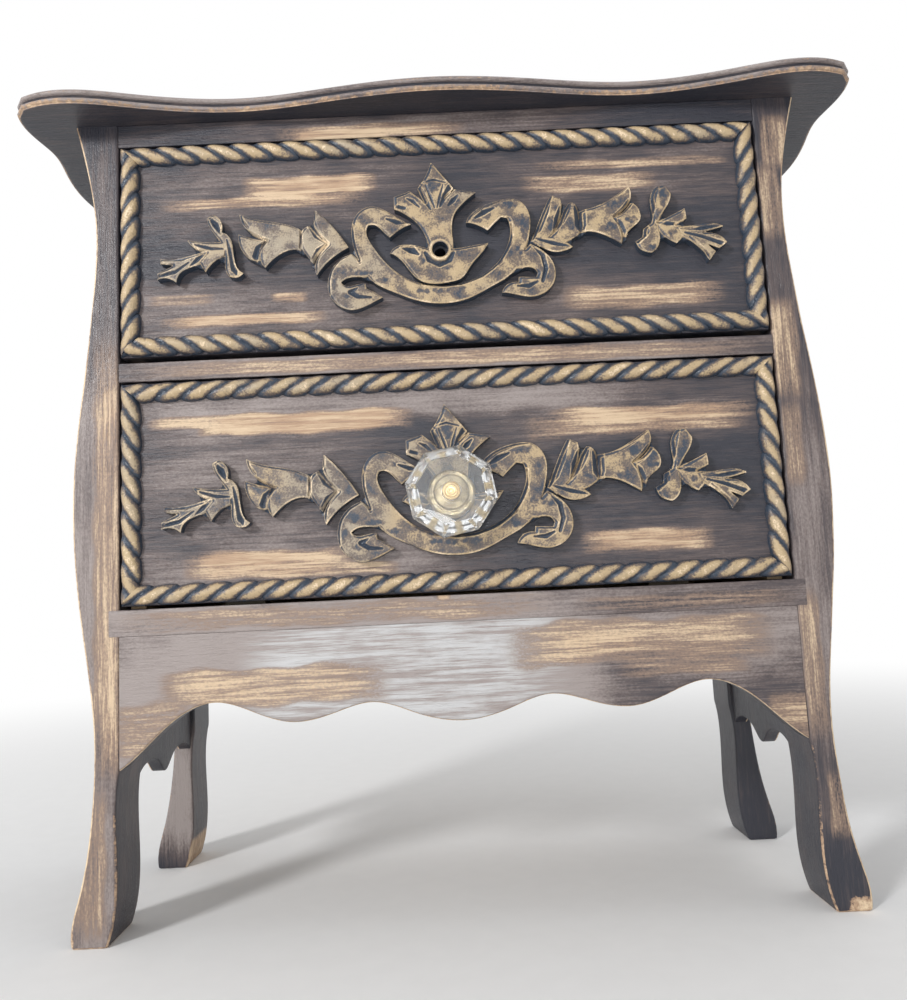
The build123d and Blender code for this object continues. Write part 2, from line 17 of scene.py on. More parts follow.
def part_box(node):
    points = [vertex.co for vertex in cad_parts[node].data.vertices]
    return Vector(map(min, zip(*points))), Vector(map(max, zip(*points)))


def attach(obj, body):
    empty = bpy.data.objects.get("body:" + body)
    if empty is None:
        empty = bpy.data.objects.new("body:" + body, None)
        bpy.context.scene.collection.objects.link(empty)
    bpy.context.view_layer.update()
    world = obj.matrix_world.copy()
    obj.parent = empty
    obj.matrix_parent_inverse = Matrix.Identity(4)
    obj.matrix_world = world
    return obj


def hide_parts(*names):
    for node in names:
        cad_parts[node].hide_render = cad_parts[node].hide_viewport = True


bl_info = {
    "name": "Rope-moulded bombe chest",
    "version": (1, 0, 0),
    "blender": (4, 5, 0),
    "location": "3D View > Sidebar > Chest",
    "description": "Builds the pieces and finishes of a miniature two-drawer bombe chest",
    "category": "Object",
}

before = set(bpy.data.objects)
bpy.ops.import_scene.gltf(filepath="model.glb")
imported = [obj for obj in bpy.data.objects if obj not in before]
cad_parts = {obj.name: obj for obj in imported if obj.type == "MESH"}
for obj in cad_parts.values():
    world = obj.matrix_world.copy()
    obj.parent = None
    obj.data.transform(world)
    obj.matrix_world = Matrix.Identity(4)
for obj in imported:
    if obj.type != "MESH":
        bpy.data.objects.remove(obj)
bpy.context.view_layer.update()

MM = 0.001
SIDES = {"left": -1, "right": 1}
ROOT = "carcass"
DRAWERS = ("upper", "lower")


def span(node):
    """Lowest and highest corner of a solid of the frame, in millimetres."""
    low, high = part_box(node)
    return np.array(low) / MM, np.array(high) / MM


# Levels and faces that the frame gives.
FRONT_Y = span("front_post_left")[0][1]
POST_BACK = span("front_post_left")[1][1]
BACK_Y = span("back_post_left")[1][1]
BODY_TOP = span("front_post_left")[1][2]
OPENING = span("apron")[1][0]
TOP_LOW, TOP_HIGH = span("top_board")
FRONTS = {name: span(f"{name}_front") for name in DRAWERS}
BODY_DEPTH = BACK_Y - FRONT_Y
POST_DEPTH = POST_BACK - FRONT_Y
BACK_POST_Y = BACK_Y - POST_DEPTH
LEG = 64.0                 # height of the legs, to where the apron and the side panels start

# The knobs' holes lie a little left of the middle and below it; the knob is turned on its bolt.
KNOB_X = -0.6
KNOB_DROP = 6.5
KNOB_Z = {name: (low[2] + high[2]) / 2 - KNOB_DROP for name, (low, high) in FRONTS.items()}
KNOB_TURN = math.radians(10.5)

# Outlines, as on the solids. A post's outer face: (past the opening, share of the body's height).
POST_OUTER = [
    (17.7, 1.0), (13.8, 0.951), (9.8, 0.877), (9.8, 0.809), (14.1, 0.673), (18.3, 0.531),
    (15.1, 0.370), (9.9, 0.231), (10.9, 0.145), (15.7, 0.056), (18.5, 0.012), (18.1, 0.0),
]
# A leg's inner face: (past the opening, share of the leg's height).
LEG_INNER = [(4.7, 0.0), (1.9, 0.17), (1.1, 0.44), (0.0, 1.0)]
# Lower edges: (share of the opening's half, or of the way back between posts; over the leg).
APRON_EDGE = [
    (0.0, 12.6), (0.137, 16.2), (0.259, 21.0), (0.380, 17.4), (0.502, 15.0), (0.608, 19.2),
    (0.726, 23.6), (0.837, 18.0), (0.913, 9.4), (1.0, -0.2),
]
SIDE_EDGE = [
    (0.0, -8.0), (0.22, -3.5), (0.38, -6.5), (0.5, -11.5), (0.62, -6.5), (0.78, -3.5), (1.0, -8.0),
]
# The top board: (share of its half, reach before the fronts) and (in from its side, share of the
# body's depth).
TOP_FRONT = [(0.0, 16.4), (0.231, 12.4), (0.462, 7.4), (0.694, 13.2), (0.844, 18.3), (0.951, 14.6)]
TOP_SIDE = [
    (4.2, -0.076), (2.8, 0.042), (4.8, 0.177), (2.4, 0.32), (0.0, 0.506), (2.4, 0.69), (4.8, 0.83),
]

# Ornament outlines, (across, up) from the knob hole.
SCROLL = [
    (-11.0, 11.3), (-17.4, 14.8), (-23.4, 18.6), (-28.4, 19.6), (-33.0, 16.8), (-35.4, 11.0),
    (-35.0, 4.0), (-32.4, -4.0), (-27.0, -12.4), (-19.4, -16.8), (-10.4, -20.6), (0.6, -22.4),
    (10.6, -20.8), (19.8, -16.4), (28.6, -11.0), (33.6, -3.4), (36.2, 4.6), (37.0, 11.0),
    (35.4, 16.6), (31.0, 20.2), (24.6, 20.4), (17.4, 18.2), (13.0, 15.0), (11.0, 11.0),
    (14.6, 10.0), (19.6, 7.2), (22.4, 10.0), (25.2, 12.6), (27.8, 12.0), (28.8, 8.4), (27.6, 2.0),
    (23.0, -5.6), (16.0, -10.9), (8.0, -13.8), (0.6, -14.7), (-7.4, -13.9), (-15.4, -10.4),
    (-22.4, -4.0), (-27.6, 3.6), (-29.4, 8.8), (-28.6, 11.4), (-26.2, 11.6), (-22.6, 8.8),
    (-19.9, 6.0), (-16.6, 8.6),
]
CURL_LEFT = [
    (-36.1, 0.1), (-41.0, -2.2), (-44.4, -6.2), (-45.7, -11.0), (-45.2, -16.4), (-42.4, -20.6),
    (-36.9, -23.4), (-29.4, -21.6), (-23.7, -18.8), (-26.6, -16.8), (-30.2, -14.8),
    (-30.5, -12.6), (-34.4, -12.9), (-38.6, -13.2), (-40.2, -12.0), (-37.4, -10.2),
    (-31.0, -10.0), (-26.0, -8.0), (-30.0, -1.0), (-33.2, -2.6),
]
CURL_RIGHT = [
    (36.7, 0.8), (41.0, -2.0), (44.4, -5.8), (45.9, -10.4), (45.2, -15.4), (41.8, -19.4),
    (36.6, -21.2), (30.0, -20.2), (24.0, -18.9), (26.6, -15.4), (30.9, -14.8), (31.2, -12.6),
    (34.8, -12.9), (38.2, -13.0), (38.8, -11.4), (36.6, -9.2), (31.6, -9.2), (27.0, -7.0),
    (30.0, -1.0), (34.3, -1.5),
]
PALMETTE = [
    (-3.8, 0.0), (-5.4, 5.4), (-8.2, 10.8), (-12.4, 14.8), (-17.8, 17.8), (-17.8, 23.4),
    (-11.5, 25.4), (-5.6, 20.6), (-8.0, 26.8), (-5.0, 31.0), (-2.2, 37.4), (2.4, 31.2),
    (6.6, 26.0), (3.2, 22.4), (6.8, 25.4), (15.8, 23.6), (9.4, 18.4), (6.2, 14.0), (5.2, 7.0),
    (5.2, 0.0),
]
CALYX = [
    (-20.2, -0.6), (-17.4, 2.4), (-12.9, 2.9), (-8.6, 2.0), (-4.4, 0.6), (5.0, 0.2), (11.0, 1.0),
    (19.6, 2.0), (17.0, -1.8), (12.6, -6.6), (7.6, -12.6), (4.0, -13.6), (-6.0, -13.6),
    (-8.6, -12.4), (-13.4, -6.8),
]
# Left spray: leaf pair, sheath, bell, inner petal, crossing twig, leaf pair, end leaves.
SPRAY_LEFT = [
    [(-50.0, 19.2), (-43.4, 12.2), (-36.7, 2.6), (-41.6, -0.2), (-45.4, -3.2), (-49.7, -8.4),
     (-50.4, -3.0), (-48.4, 0.6), (-44.8, 4.4), (-47.6, 7.6), (-50.2, 12.4)],
    [(-52.4, 12.8), (-49.0, 8.4), (-44.9, 4.4), (-49.2, 0.8), (-51.2, -3.0), (-54.8, 1.8),
     (-56.4, 6.6), (-55.4, 10.6)],
    [(-55.9, 10.8), (-60.6, 13.2), (-70.0, 15.4), (-80.6, 19.0), (-78.2, 12.8), (-74.6, 9.6),
     (-69.4, 7.2), (-72.2, 3.8), (-72.4, -0.4), (-70.4, -4.4), (-64.0, 1.2), (-60.0, 2.6),
     (-55.9, 2.2)],
    [(-81.2, 10.4), (-80.8, 6.0), (-78.6, 1.6), (-76.0, -0.8), (-72.0, -1.0), (-71.8, 3.8),
     (-69.4, 7.2), (-75.4, 8.2)],
    [(-93.8, 17.8), (-91.4, 19.0), (-88.2, 16.4), (-87.4, 13.4), (-87.8, 11.4), (-84.4, 8.8),
     (-83.2, 3.2), (-79.2, -6.2), (-81.4, -7.8), (-84.8, -7.4), (-86.4, -4.6), (-86.8, 3.4),
     (-88.4, 7.6), (-92.2, 13.0)],
    [(-86.2, 7.4), (-94.4, 7.6), (-101.8, 8.8), (-98.4, 5.0), (-93.9, 3.6), (-96.9, -0.6),
     (-94.4, -5.2), (-90.4, -0.6), (-86.2, 1.4)],
    [(-93.4, 3.8), (-99.4, 2.6), (-106.4, 1.2), (-112.8, 1.6), (-112.6, -0.8), (-107.6, -1.6),
     (-113.9, -4.6), (-113.9, -7.4), (-108.4, -7.4), (-106.2, -9.0), (-101.0, -3.0),
     (-96.6, -1.4)],
]
# Right spray: two upright leaves, lower leaf, bell, inner petal, crossing twig, leaf pair, end.
SPRAY_RIGHT = [
    [(37.0, 2.2), (39.2, 7.4), (42.2, 14.4), (45.8, 21.2), (49.6, 19.4), (49.6, 13.4),
     (46.8, 6.4), (44.4, 3.2)],
    [(46.2, 5.0), (50.2, 13.0), (53.2, 18.0), (56.4, 15.4), (57.5, 11.2), (57.1, 5.2),
     (53.8, 2.2), (50.0, 1.0), (44.4, 3.2)],
    [(37.0, 2.6), (44.4, 3.6), (50.0, 1.4), (53.6, -1.3), (50.6, -2.6), (45.8, -3.0),
     (41.0, -0.8)],
    [(57.0, 14.4), (57.0, 4.7), (60.8, 4.9), (65.0, 3.8), (73.4, -0.9), (73.9, 3.0),
     (70.8, 10.4), (74.4, 13.2), (77.6, 17.0), (77.6, 23.4), (71.0, 19.2), (64.4, 15.8)],
    [(70.6, 10.4), (75.4, 13.2), (78.2, 16.4), (81.4, 12.6), (81.4, 9.0), (78.4, 6.0),
     (75.2, 1.8), (73.2, 4.4)],
    [(86.2, 7.4), (86.8, 11.0), (86.4, 17.0), (88.9, 23.0), (92.2, 23.0), (94.6, 19.4),
     (92.8, 14.4), (88.8, 7.6), (88.9, 1.8), (87.8, -2.8), (85.1, -5.2), (81.0, -3.6),
     (79.2, 0.4), (82.4, 2.2), (82.8, 5.6)],
    [(87.4, 7.2), (93.4, 10.0), (99.8, 13.0), (100.2, 8.4), (95.4, 6.2), (98.2, 1.2),
     (95.5, -1.7), (91.2, 1.2)],
    [(95.0, 6.4), (103.0, 5.8), (111.2, 6.2), (115.0, 4.6), (106.4, 2.4), (113.4, 0.6),
     (115.8, -2.2), (112.4, -4.6), (107.6, -2.4), (111.0, -5.8), (108.2, -9.4), (104.2, -3.2),
     (98.8, 0.8)],
]

# Knife cuts in the carving, each a line of (across, up, half width) from the knob hole. A cut
# along an outline bevels that side.
CUTS = {
    "palmette": [
        [(-7.9, 26.0, 1.7), (-5.4, 21.6, 1.2), (-3.0, 17.0, 0.4)],
        [(5.4, 25.8, 1.7), (3.0, 22.6, 1.2), (0.8, 18.0, 0.4)],
        [(-4.6, 27.4, 0.3), (-2.8, 22.0, 0.6), (-1.4, 17.6, 0.3)],
        [(2.4, 27.4, 0.3), (0.8, 22.0, 0.6), (-0.4, 17.6, 0.3)],
        [(-5.6, 28.6, 0.3), (-1.4, 29.6, 0.5), (3.4, 28.2, 0.3)],
        [(8.1, 22.4, 0.4), (6.1, 20.4, 1.1), (4.2, 18.4, 0.5)],
        [(-12.4, 22.0, 0.4), (-10.2, 20.8, 0.8), (-7.6, 18.2, 0.4)],
        [(-16.4, 18.8, 0.8), (-13.6, 18.0, 0.7)],
        [(-15.4, 1.6, 0.5), (-11.6, 0.4, 1.8), (-8.8, -1.6, 0.6)],
        [(-6.0, -1.2, 0.7), (-4.4, -4.0, 1.3), (-0.4, -6.0, 1.5), (3.6, -4.4, 1.3),
         (5.4, -1.4, 0.7)],
    ],
    "scroll": [
        [(28.6, 9.4, 0.8), (27.6, 2.0, 1.8), (23.0, -5.6, 1.9), (16.0, -10.9, 1.8),
         (8.0, -13.8, 1.5), (0.6, -14.7, 0.9), (-7.4, -13.9, 0.5)],
        [(11.2, 11.2, 0.5), (13.2, 15.0, 1.7), (17.6, 18.2, 1.9), (24.8, 20.4, 1.5),
         (30.0, 20.4, 0.7)],
        [(14.8, 12.6, 0.5), (18.0, 14.6, 1.2), (22.4, 16.4, 0.5)],
        [(-36.1, 0.1, 0.5), (-41.0, -2.2, 1.0), (-44.4, -6.2, 1.2), (-45.7, -11.0, 1.1),
         (-45.2, -16.4, 0.7)],
        [(-34.0, -14.6, 0.5), (-36.6, -16.2, 1.1), (-33.6, -18.2, 0.9), (-28.4, -18.6, 0.5)],
        [(37.0, 0.6, 0.4), (41.2, -4.4, 1.0), (42.2, -10.0, 1.0), (40.6, -15.0, 0.7)],
        [(30.6, -16.6, 0.5), (35.0, -16.8, 1.0), (38.4, -15.2, 0.5)],
        [(-35.2, 12.0, 0.4), (-35.0, 4.0, 0.9), (-32.4, -4.0, 0.6)],
        [(-12.0, 12.0, 0.5), (-16.8, 12.2, 1.0), (-21.0, 13.8, 0.5)],
    ],
    "spray_left": [
        [(-50.0, 19.2, 0.4), (-51.2, 15.4, 1.3), (-52.0, 12.8, 1.2), (-49.4, 8.2, 1.4),
         (-45.2, 4.5, 0.6)],
        [(-45.2, 4.5, 0.6), (-48.8, 1.6, 1.3), (-50.6, -2.2, 1.4), (-50.0, -7.0, 0.6)],
        [(-55.8, 10.8, 0.5), (-56.2, 3.2, 0.6)],
        [(-80.2, 12.6, 0.8), (-75.4, 9.4, 1.3), (-69.6, 7.1, 0.6)],
        [(-69.8, 6.8, 0.6), (-73.0, 3.8, 1.3), (-74.2, 0.6, 1.3), (-73.6, -2.2, 0.6)],
        [(-80.4, 19.6, 0.5), (-79.6, 15.8, 0.9), (-77.0, 12.6, 0.6)],
        [(-92.4, 17.4, 0.5), (-90.2, 14.6, 1.4), (-88.0, 10.6, 0.5)],
        [(-85.6, 8.0, 0.4), (-84.0, 1.2, 1.0), (-82.8, -4.4, 1.5), (-82.0, -6.6, 0.5)],
        [(-98.4, 6.6, 0.6), (-92.6, 4.6, 0.8), (-87.0, 4.2, 0.4)],
        [(-94.6, 2.8, 0.5), (-97.6, 0.2, 1.0), (-100.6, -2.6, 0.4)],
        [(-112.6, 0.9, 0.8), (-104.0, 0.4, 0.7), (-97.4, 2.4, 0.4)],
        [(-113.6, -6.0, 1.0), (-106.6, -4.6, 0.8), (-101.0, -0.8, 0.4)],
    ],
    "spray_right": [
        [(37.2, 2.4, 0.6), (39.2, 7.4, 2.4), (42.2, 14.4, 2.6), (45.4, 21.0, 1.2)],
        [(46.2, 5.4, 0.5), (48.8, 10.4, 2.3), (51.0, 14.6, 2.5), (53.2, 18.0, 1.3)],
        [(57.2, 14.8, 2.4), (57.2, 8.0, 2.4), (57.6, 4.6, 1.0)],
        [(58.6, 15.4, 0.8), (66.0, 17.0, 0.9), (73.2, 20.8, 1.0), (77.4, 23.4, 0.5)],
        [(70.6, 10.6, 0.5), (74.6, 13.0, 1.2), (77.8, 16.4, 1.4)],
        [(70.8, 10.4, 0.4), (73.2, 7.6, 1.1), (74.4, 3.8, 1.2), (74.0, -0.4, 0.5)],
        [(86.4, 11.4, 0.8), (87.0, 17.8, 1.7), (89.2, 23.0, 0.9)],
        [(83.4, 8.6, 1.0), (83.2, 3.6, 1.6), (80.0, 0.4, 1.4)],
        [(88.0, 7.4, 0.4), (92.4, 6.6, 0.9), (96.4, 6.2, 0.6)],
        [(57.6, 4.6, 0.4), (65.6, 3.0, 0.6), (73.4, -1.2, 0.5)],
        [(97.6, 4.4, 0.4), (105.0, 4.0, 0.9), (113.4, 5.0, 0.8)],
        [(99.0, 2.6, 0.4), (106.4, 0.4, 0.8), (113.6, -2.6, 1.0)],
        [(100.8, 0.6, 0.4), (105.4, -4.4, 0.8), (108.6, -8.4, 0.8)],
        [(38.4, 2.9, 0.4), (46.0, 0.4, 0.9), (52.4, -1.0, 0.4)],
    ],
}
# Paint left on the flats of the carving: (across, up, half width, half height) from the hole.
LEFT_DARK = {
    "palmette": [
        (-1.6, 27.0, 2.9, 3.0), (-10.6, 20.9, 2.6, 1.6), (-15.0, 18.3, 1.8, 0.9),
        (6.2, 20.3, 1.9, 1.6), (-11.8, 0.4, 2.4, 1.9), (8.6, -1.6, 2.6, 1.3),
        (1.6, -7.6, 2.6, 0.8), (-7.4, -3.6, 1.2, 2.2),
    ],
    "scroll": [
        (33.8, 9.4, 1.5, 3.2), (26.4, 17.6, 4.2, 1.4), (35.0, 2.6, 1.3, 2.0),
        (-9.0, -16.8, 1.3, 0.8), (-5.8, -17.0, 1.1, 0.8), (-1.6, -17.2, 2.4, 0.9),
        (3.4, -17.1, 1.4, 0.8), (8.4, -16.8, 1.7, 0.8), (15.4, 11.8, 1.5, 1.0),
        (20.0, 13.2, 1.6, 1.2), (31.6, -2.6, 1.4, 2.2), (-38.6, -6.6, 3.2, 1.6),
        (-43.0, -11.0, 1.2, 3.2), (-31.0, -8.6, 3.0, 1.2), (-24.0, -12.0, 2.6, 1.0),
        (22.4, -11.2, 2.6, 1.1), (-20.8, 14.0, 2.2, 1.0), (42.6, -10.0, 1.3, 3.4),
        (38.0, -3.6, 2.2, 1.2), (-37.0, -17.4, 2.6, 1.2),
    ],
    "spray_left": [
        (-90.4, 14.8, 1.4, 2.8), (-83.4, -3.0, 1.2, 3.0), (-77.0, 14.4, 1.6, 0.8),
        (-98.6, 7.4, 1.5, 0.6),
    ],
    "spray_right": [
        (45.6, 8.4, 1.6, 3.2), (47.6, 14.0, 1.0, 2.0), (53.0, 8.4, 2.3, 2.6),
        (72.2, 16.0, 4.2, 2.4), (69.2, 6.2, 3.6, 2.1), (78.2, 9.2, 1.9, 1.1),
        (91.4, 17.4, 1.4, 4.6), (88.0, 9.6, 1.2, 2.6), (85.6, -3.2, 1.4, 1.3),
        (94.2, 3.0, 1.4, 1.1),
    ],
}
# Each drawer's carving: how far it sits from the outlines' place, and how far its flats are rubbed.
CARVING = {"upper": ((0.0, 0.0), 0.62), "lower": ((0.8, -1.3), 0.56)}
FAR_OUT = -9.0             # stands for any distance that far outside a shape

# Where paint is rubbed through to the wood: (x from, x to, z from, z to, strength).
RUBS = {
    "upper_front": [
        (-80, -26, 290.5, 298.5, 0.95), (-114, -30, 286.0, 290.5, 0.66),
        (40, 112, 296.5, 300.0, 0.5), (34, 90, 287.0, 294.0, 0.54),
        (-114, -48, 236.5, 241.0, 0.82), (-70, -55, 245.5, 249.0, 0.72),
        (-120, -92, 245.5, 250.0, 0.3), (48, 114, 237.0, 246.0, 0.58), (92, 120, 296, 299, 0.36),
    ],
    "lower_front": [
        (-99, -16, 191.5, 199.5, 1.15), (-120, -86, 195.0, 199.5, 0.58),
        (40, 121, 189.5, 196.0, 0.8), (30, 118, 185.5, 192.0, 0.58),
        (-106, -40, 134.5, 145.0, 0.72), (-103, -60, 139.5, 144.5, 1.0),
        (50, 101, 138.5, 146.5, 0.82), (-64, -22, 134.5, 139.0, 0.52), (30, 46, 183, 193, 0.24),
    ],
    "apron": [
        (-116, -28, 86.0, 100.0, 0.54), (18, 122, 95.0, 112.0, 0.5), (34, 74, 99.5, 107.5, 0.62),
        (60, 112, 90.0, 98.0, 0.42), (117, 134, 61.0, 82.0, 0.5), (-134, -104, 68.0, 88.0, 0.36),
    ],
    "top_rail": [(-62, -18, 313.5, 318.5, 0.95), (-66, 12, 314.5, 320.0, 0.62)],
    "divider_rail": [(-128, 128, 216.0, 221.5, 0.42), (-34, 76, 217.0, 222.0, 0.54)],
    "shelf_rail": [
        (-136, 40, 115.5, 123.5, 0.34), (44, 132, 115.5, 121.0, 0.32), (-8, -3, 122.9, 124.8, 0.8),
    ],
    "front_post_left": [
        (-141, -130, 60, 232, 0.52), (-139, -132, 186, 216, 0.64), (-138, -130, 60, 128, 0.56),
        (-149, -136, 2, 60, 0.45),
    ],
    "back_post_left": [(-142, -122, -6, 13, 0.9)],
    "front_post_right": [
        (134, 145, 292, 317, 0.4), (130, 140, 262, 297, 0.36), (130, 141, 196, 238, 0.46),
        (132, 140, 62, 122, 0.36), (137, 144, 26, 52, 0.36), (133, 140, 160, 196, 0.36),
    ],
}
# Where the paint is worn thin, brown or grey: same five numbers. The grey is made paler as a
# painted sheen, and a strength above 1.15 also paints a pale sheen in, a painted reflection.
THINS = {
    "upper_front": [
        (-140, 0, 276, 308, 0.45), (10, 140, 282, 308, 0.4), (-140, 0, 228, 256, 0.55),
        (20, 140, 230, 252, 0.35),
    ],
    "lower_front": [
        (-140, 90, 194, 212, 0.85), (-140, -20, 130, 212, 0.5), (10, 140, 182, 204, 0.55),
        (-140, 20, 128, 152, 0.6), (30, 130, 132, 152, 0.4),
    ],
    "apron": [
        # The patch of strength 1.85 paints a pale sheen in, a painted reflection on the apron's
        # middle.
        (-190, 80, 40, 132, 1.15), (-104, 62, 54, 140, 1.85), (-20, 170, 82, 128, 0.8),
        (50, 170, 50, 104, 0.45),
    ],
    "top_rail": [(-90, 60, 310, 326, 0.6)],
    "divider_rail": [(-150, 150, 210, 226, 0.75)],
    "shelf_rail": [(-190, 90, 108, 128, 1.05), (20, 180, 108, 128, 0.55)],
    "front_post_left": [
        (-160, -126, 40, 236, 0.86), (-160, -126, -20, 80, 0.86), (-160, -126, 220, 330, 0.25),
    ],
    "front_post_right": [(126, 160, 30, 210, 0.55), (126, 160, 200, 330, 0.2)],
    # On the back left leg the lower front is paler grey as painted light, lighter where light falls
    # on it.
    "back_post_left": [(-160, -126, 6, 66, 1.1)],
}
# Chips at the feet of the front posts: same five numbers.
FOOT_CHIPS = {"left": [(-153, -148.0, -3, 9, 0.70)], "right": [(139, 153, -5, 6.4, 0.80)]}


# ---------------------------------------------------------------- curves and distances
def curve(points, count):
    """Smooth line through the points, at count places an even length apart along their chords.
    Each stretch is a cubic, and the slopes where two meet make the bend run on; the slope at an
    end is that of the one cubic through the four points there."""
    p = np.asarray(points, float)
    t = np.concatenate([[0.0], np.cumsum(np.linalg.norm(np.diff(p, axis=0), axis=1))])
    at = np.linspace(0.0, t[-1], count)
    n = len(t)
    if n == 2:
        return p[0] + (p[1] - p[0]) * (at / t[-1])[:, None]
    h = np.diff(t)
    rise = np.diff(p, axis=0) / h[:, None]
    k = min(4, n)
    bend = np.zeros((n, n))
    aim = np.zeros((n, 2))
    bend[0, 0] = bend[-1, -1] = 1.0
    for row, part in ((0, slice(0, k)), (n - 1, slice(n - k, n))):
        fits = np.polyfit(t[part] - t[row], p[part], k - 1)
        aim[row] = fits[-2]
    inner = np.arange(1, n - 1)
    bend[inner, inner - 1] = h[1:]
    bend[inner, inner] = 2 * (h[:-1] + h[1:])
    bend[inner, inner + 1] = h[:-1]
    aim[1:-1] = 3 * (h[1:, None] * rise[:-1] + h[:-1, None] * rise[1:])
    slope = np.linalg.solve(bend, aim)
    i = np.clip(np.searchsorted(t, at, side="right") - 1, 0, n - 2)
    u = ((at - t[i]) / h[i])[:, None]
    width = h[i][:, None]
    return ((2 * u**3 - 3 * u**2 + 1) * p[i] + (u**3 - 2 * u**2 + u) * width * slope[i]
            + (3 * u**2 - 2 * u**3) * p[i + 1] + (u**3 - u**2) * width * slope[i + 1])


def closed_line(points, spacing=0.7, corner=48.0):
    """Closed outline through the points: it stays sharp where it turns by more than corner
    degrees, and is a smooth curve from one such corner to the next."""
    p = np.asarray(points, float)
    back, ahead = p - np.roll(p, 1, axis=0), np.roll(p, -1, axis=0) - p
    turn = np.degrees(np.arctan2(back[:, 0] * ahead[:, 1] - back[:, 1] * ahead[:, 0],
                                 (back * ahead).sum(axis=1)))
    sharp = np.flatnonzero(np.abs(turn) > corner)
    if len(sharp) == 0:
        sharp = np.array([0])
    p = np.roll(p, -sharp[0], axis=0)
    stops = list(sharp - sharp[0]) + [len(p)]
    ring = np.vstack([p, p[:1]])
    runs = []
    for first, last in zip(stops, stops[1:]):
        run = ring[first:last + 1]
        length = np.linalg.norm(np.diff(run, axis=0), axis=1).sum()
        runs.append(curve(run, max(3, int(length / spacing)))[:-1])
    return np.vstack(runs)


def depth_inside(x, z, line):
    """Distance of each place from a closed outline, positive inside it. The nearest place on a
    stretch is its foot point held between its ends; a place is inside when a ray to the right
    crosses the outline an odd number of times."""
    nearest = np.full(x.shape, 1e9)
    inside = np.zeros(x.shape, bool)
    for (ax, az), (bx, bz) in zip(line, np.roll(line, -1, axis=0)):
        dx, dz = bx - ax, bz - az
        share = np.clip(((x - ax) * dx + (z - az) * dz) / (dx * dx + dz * dz + 1e-12), 0, 1)
        nearest = np.minimum(nearest, (x - ax - share * dx)**2 + (z - az - share * dz)**2)
        if dz:
            inside ^= ((az > z) != (bz > z)) & (x < ax + (z - az) * dx / dz)
    return np.where(inside, 1.0, -1.0) * np.sqrt(nearest)


def quarter_round(inset, radius):
    """How far an eased arris falls back: a quarter circle of the radius, none further in."""
    left = radius - np.clip(inset, 0, radius)
    return radius - np.sqrt(radius**2 - left**2)


def soft_box(x, z, boxes, soft=False):
    """Greatest of several soft patches: each is its strength inside, falls off quickly (or, when
    soft, slowly) at its long sides, which waver a little, and slowly towards its short ends."""
    value = np.zeros(np.broadcast(x, z).shape)
    for x0, x1, z0, z1, strength in boxes:
        across = 2 * (x - (x0 + x1) / 2) / (x1 - x0) + 0 * z
        up = 2 * (z - (z0 + z1) / 2) / (z1 - z0) + 0 * x
        if x1 - x0 < z1 - z0:
            across, up = up, across
        up = up + 0.10 * np.sin(x / 9.1 + 1.7 * x0) + 0.08 * np.sin((x + z) / 3.7 + z0)
        ends = np.clip((1.35 - across**2) / 1.1 if soft else (1.15 - across**2) / 0.75, 0, 1)
        sides = (1.5 - up**2) / 1.3 if soft else (1.4 - np.abs(up)**2.5) / 0.9
        value = np.maximum(value, strength * ends * np.clip(sides, 0, 1))
    return value


def lines(low, high, step, ease):
    """Grid lines from low to high about a step apart, closer together over an eased arris."""
    near = ease * np.array([0.0, 0.08, 0.3, 0.62, 1.0])
    count = max(2, int(round((high - low - 2 * ease) / step)) + 1)
    middle = np.linspace(low + ease, high - ease, count)
    return np.unique(np.round(np.concatenate([low + near, middle, high - near]), 5))


def wobble(x, z, seed, size):
    """Gentle unevenness between -1 and 1: a few sine waves of about that size in turned
    directions, with phases from the seed."""
    random = np.random.default_rng(seed)
    total = np.zeros(np.broadcast(x, z).shape)
    for k in range(6):
        angle, phase = random.uniform(0, math.pi), random.uniform(0, 2 * math.pi)
        wave = 2 * math.pi / (size * random.uniform(0.6, 1.7))
        total += np.sin(wave * (x * math.cos(angle) + z * math.sin(angle)) + phase)
    return total / 6


def hash_word(word):
    """A fixed number from a word, for seeds."""
    return sum((i + 1) * ord(letter) for i, letter in enumerate(word))


# ---------------------------------------------------------------- meshes
def new_piece(name, places, faces, values=None, angle=32.0):
    """A mesh object from places in millimetres, with its faces turned outwards (the volume that
    they enclose comes out positive), smooth but for edges sharper than the angle."""
    used = np.unique(np.concatenate([np.ravel(f) for f in faces]))
    renumber = np.full(len(places), -1)
    renumber[used] = np.arange(len(used))
    places = places[used]
    groups = [renumber[np.asarray(f)] for f in faces]
    volume = 0.0
    for f in groups:
        grid = np.atleast_2d(f)
        a = places[grid[:, 0]]
        for k in range(1, grid.shape[1] - 1):
            b, c = places[grid[:, k]], places[grid[:, k + 1]]
            volume += np.einsum("ij,ij->", a, np.cross(b, c))
    turn = slice(None) if volume > 0 else slice(None, None, -1)
    rows = [list(row[turn]) for f in groups for row in np.atleast_2d(f).tolist()]
    mesh = bpy.data.meshes.new(name)
    mesh.from_pydata((places * MM).tolist(), [], rows)
    for word, numbers in (values or {}).items():
        layer = mesh.attributes.new(word, "FLOAT", "POINT")
        layer.data.foreach_set("value", np.ravel(numbers)[used].astype(np.float32))
    mesh.shade_smooth()
    mesh.set_sharp_from_angle(angle=math.radians(angle))
    mesh.update()
    piece = bpy.data.objects.new(name, mesh)
    bpy.context.scene.collection.objects.link(piece)
    return piece


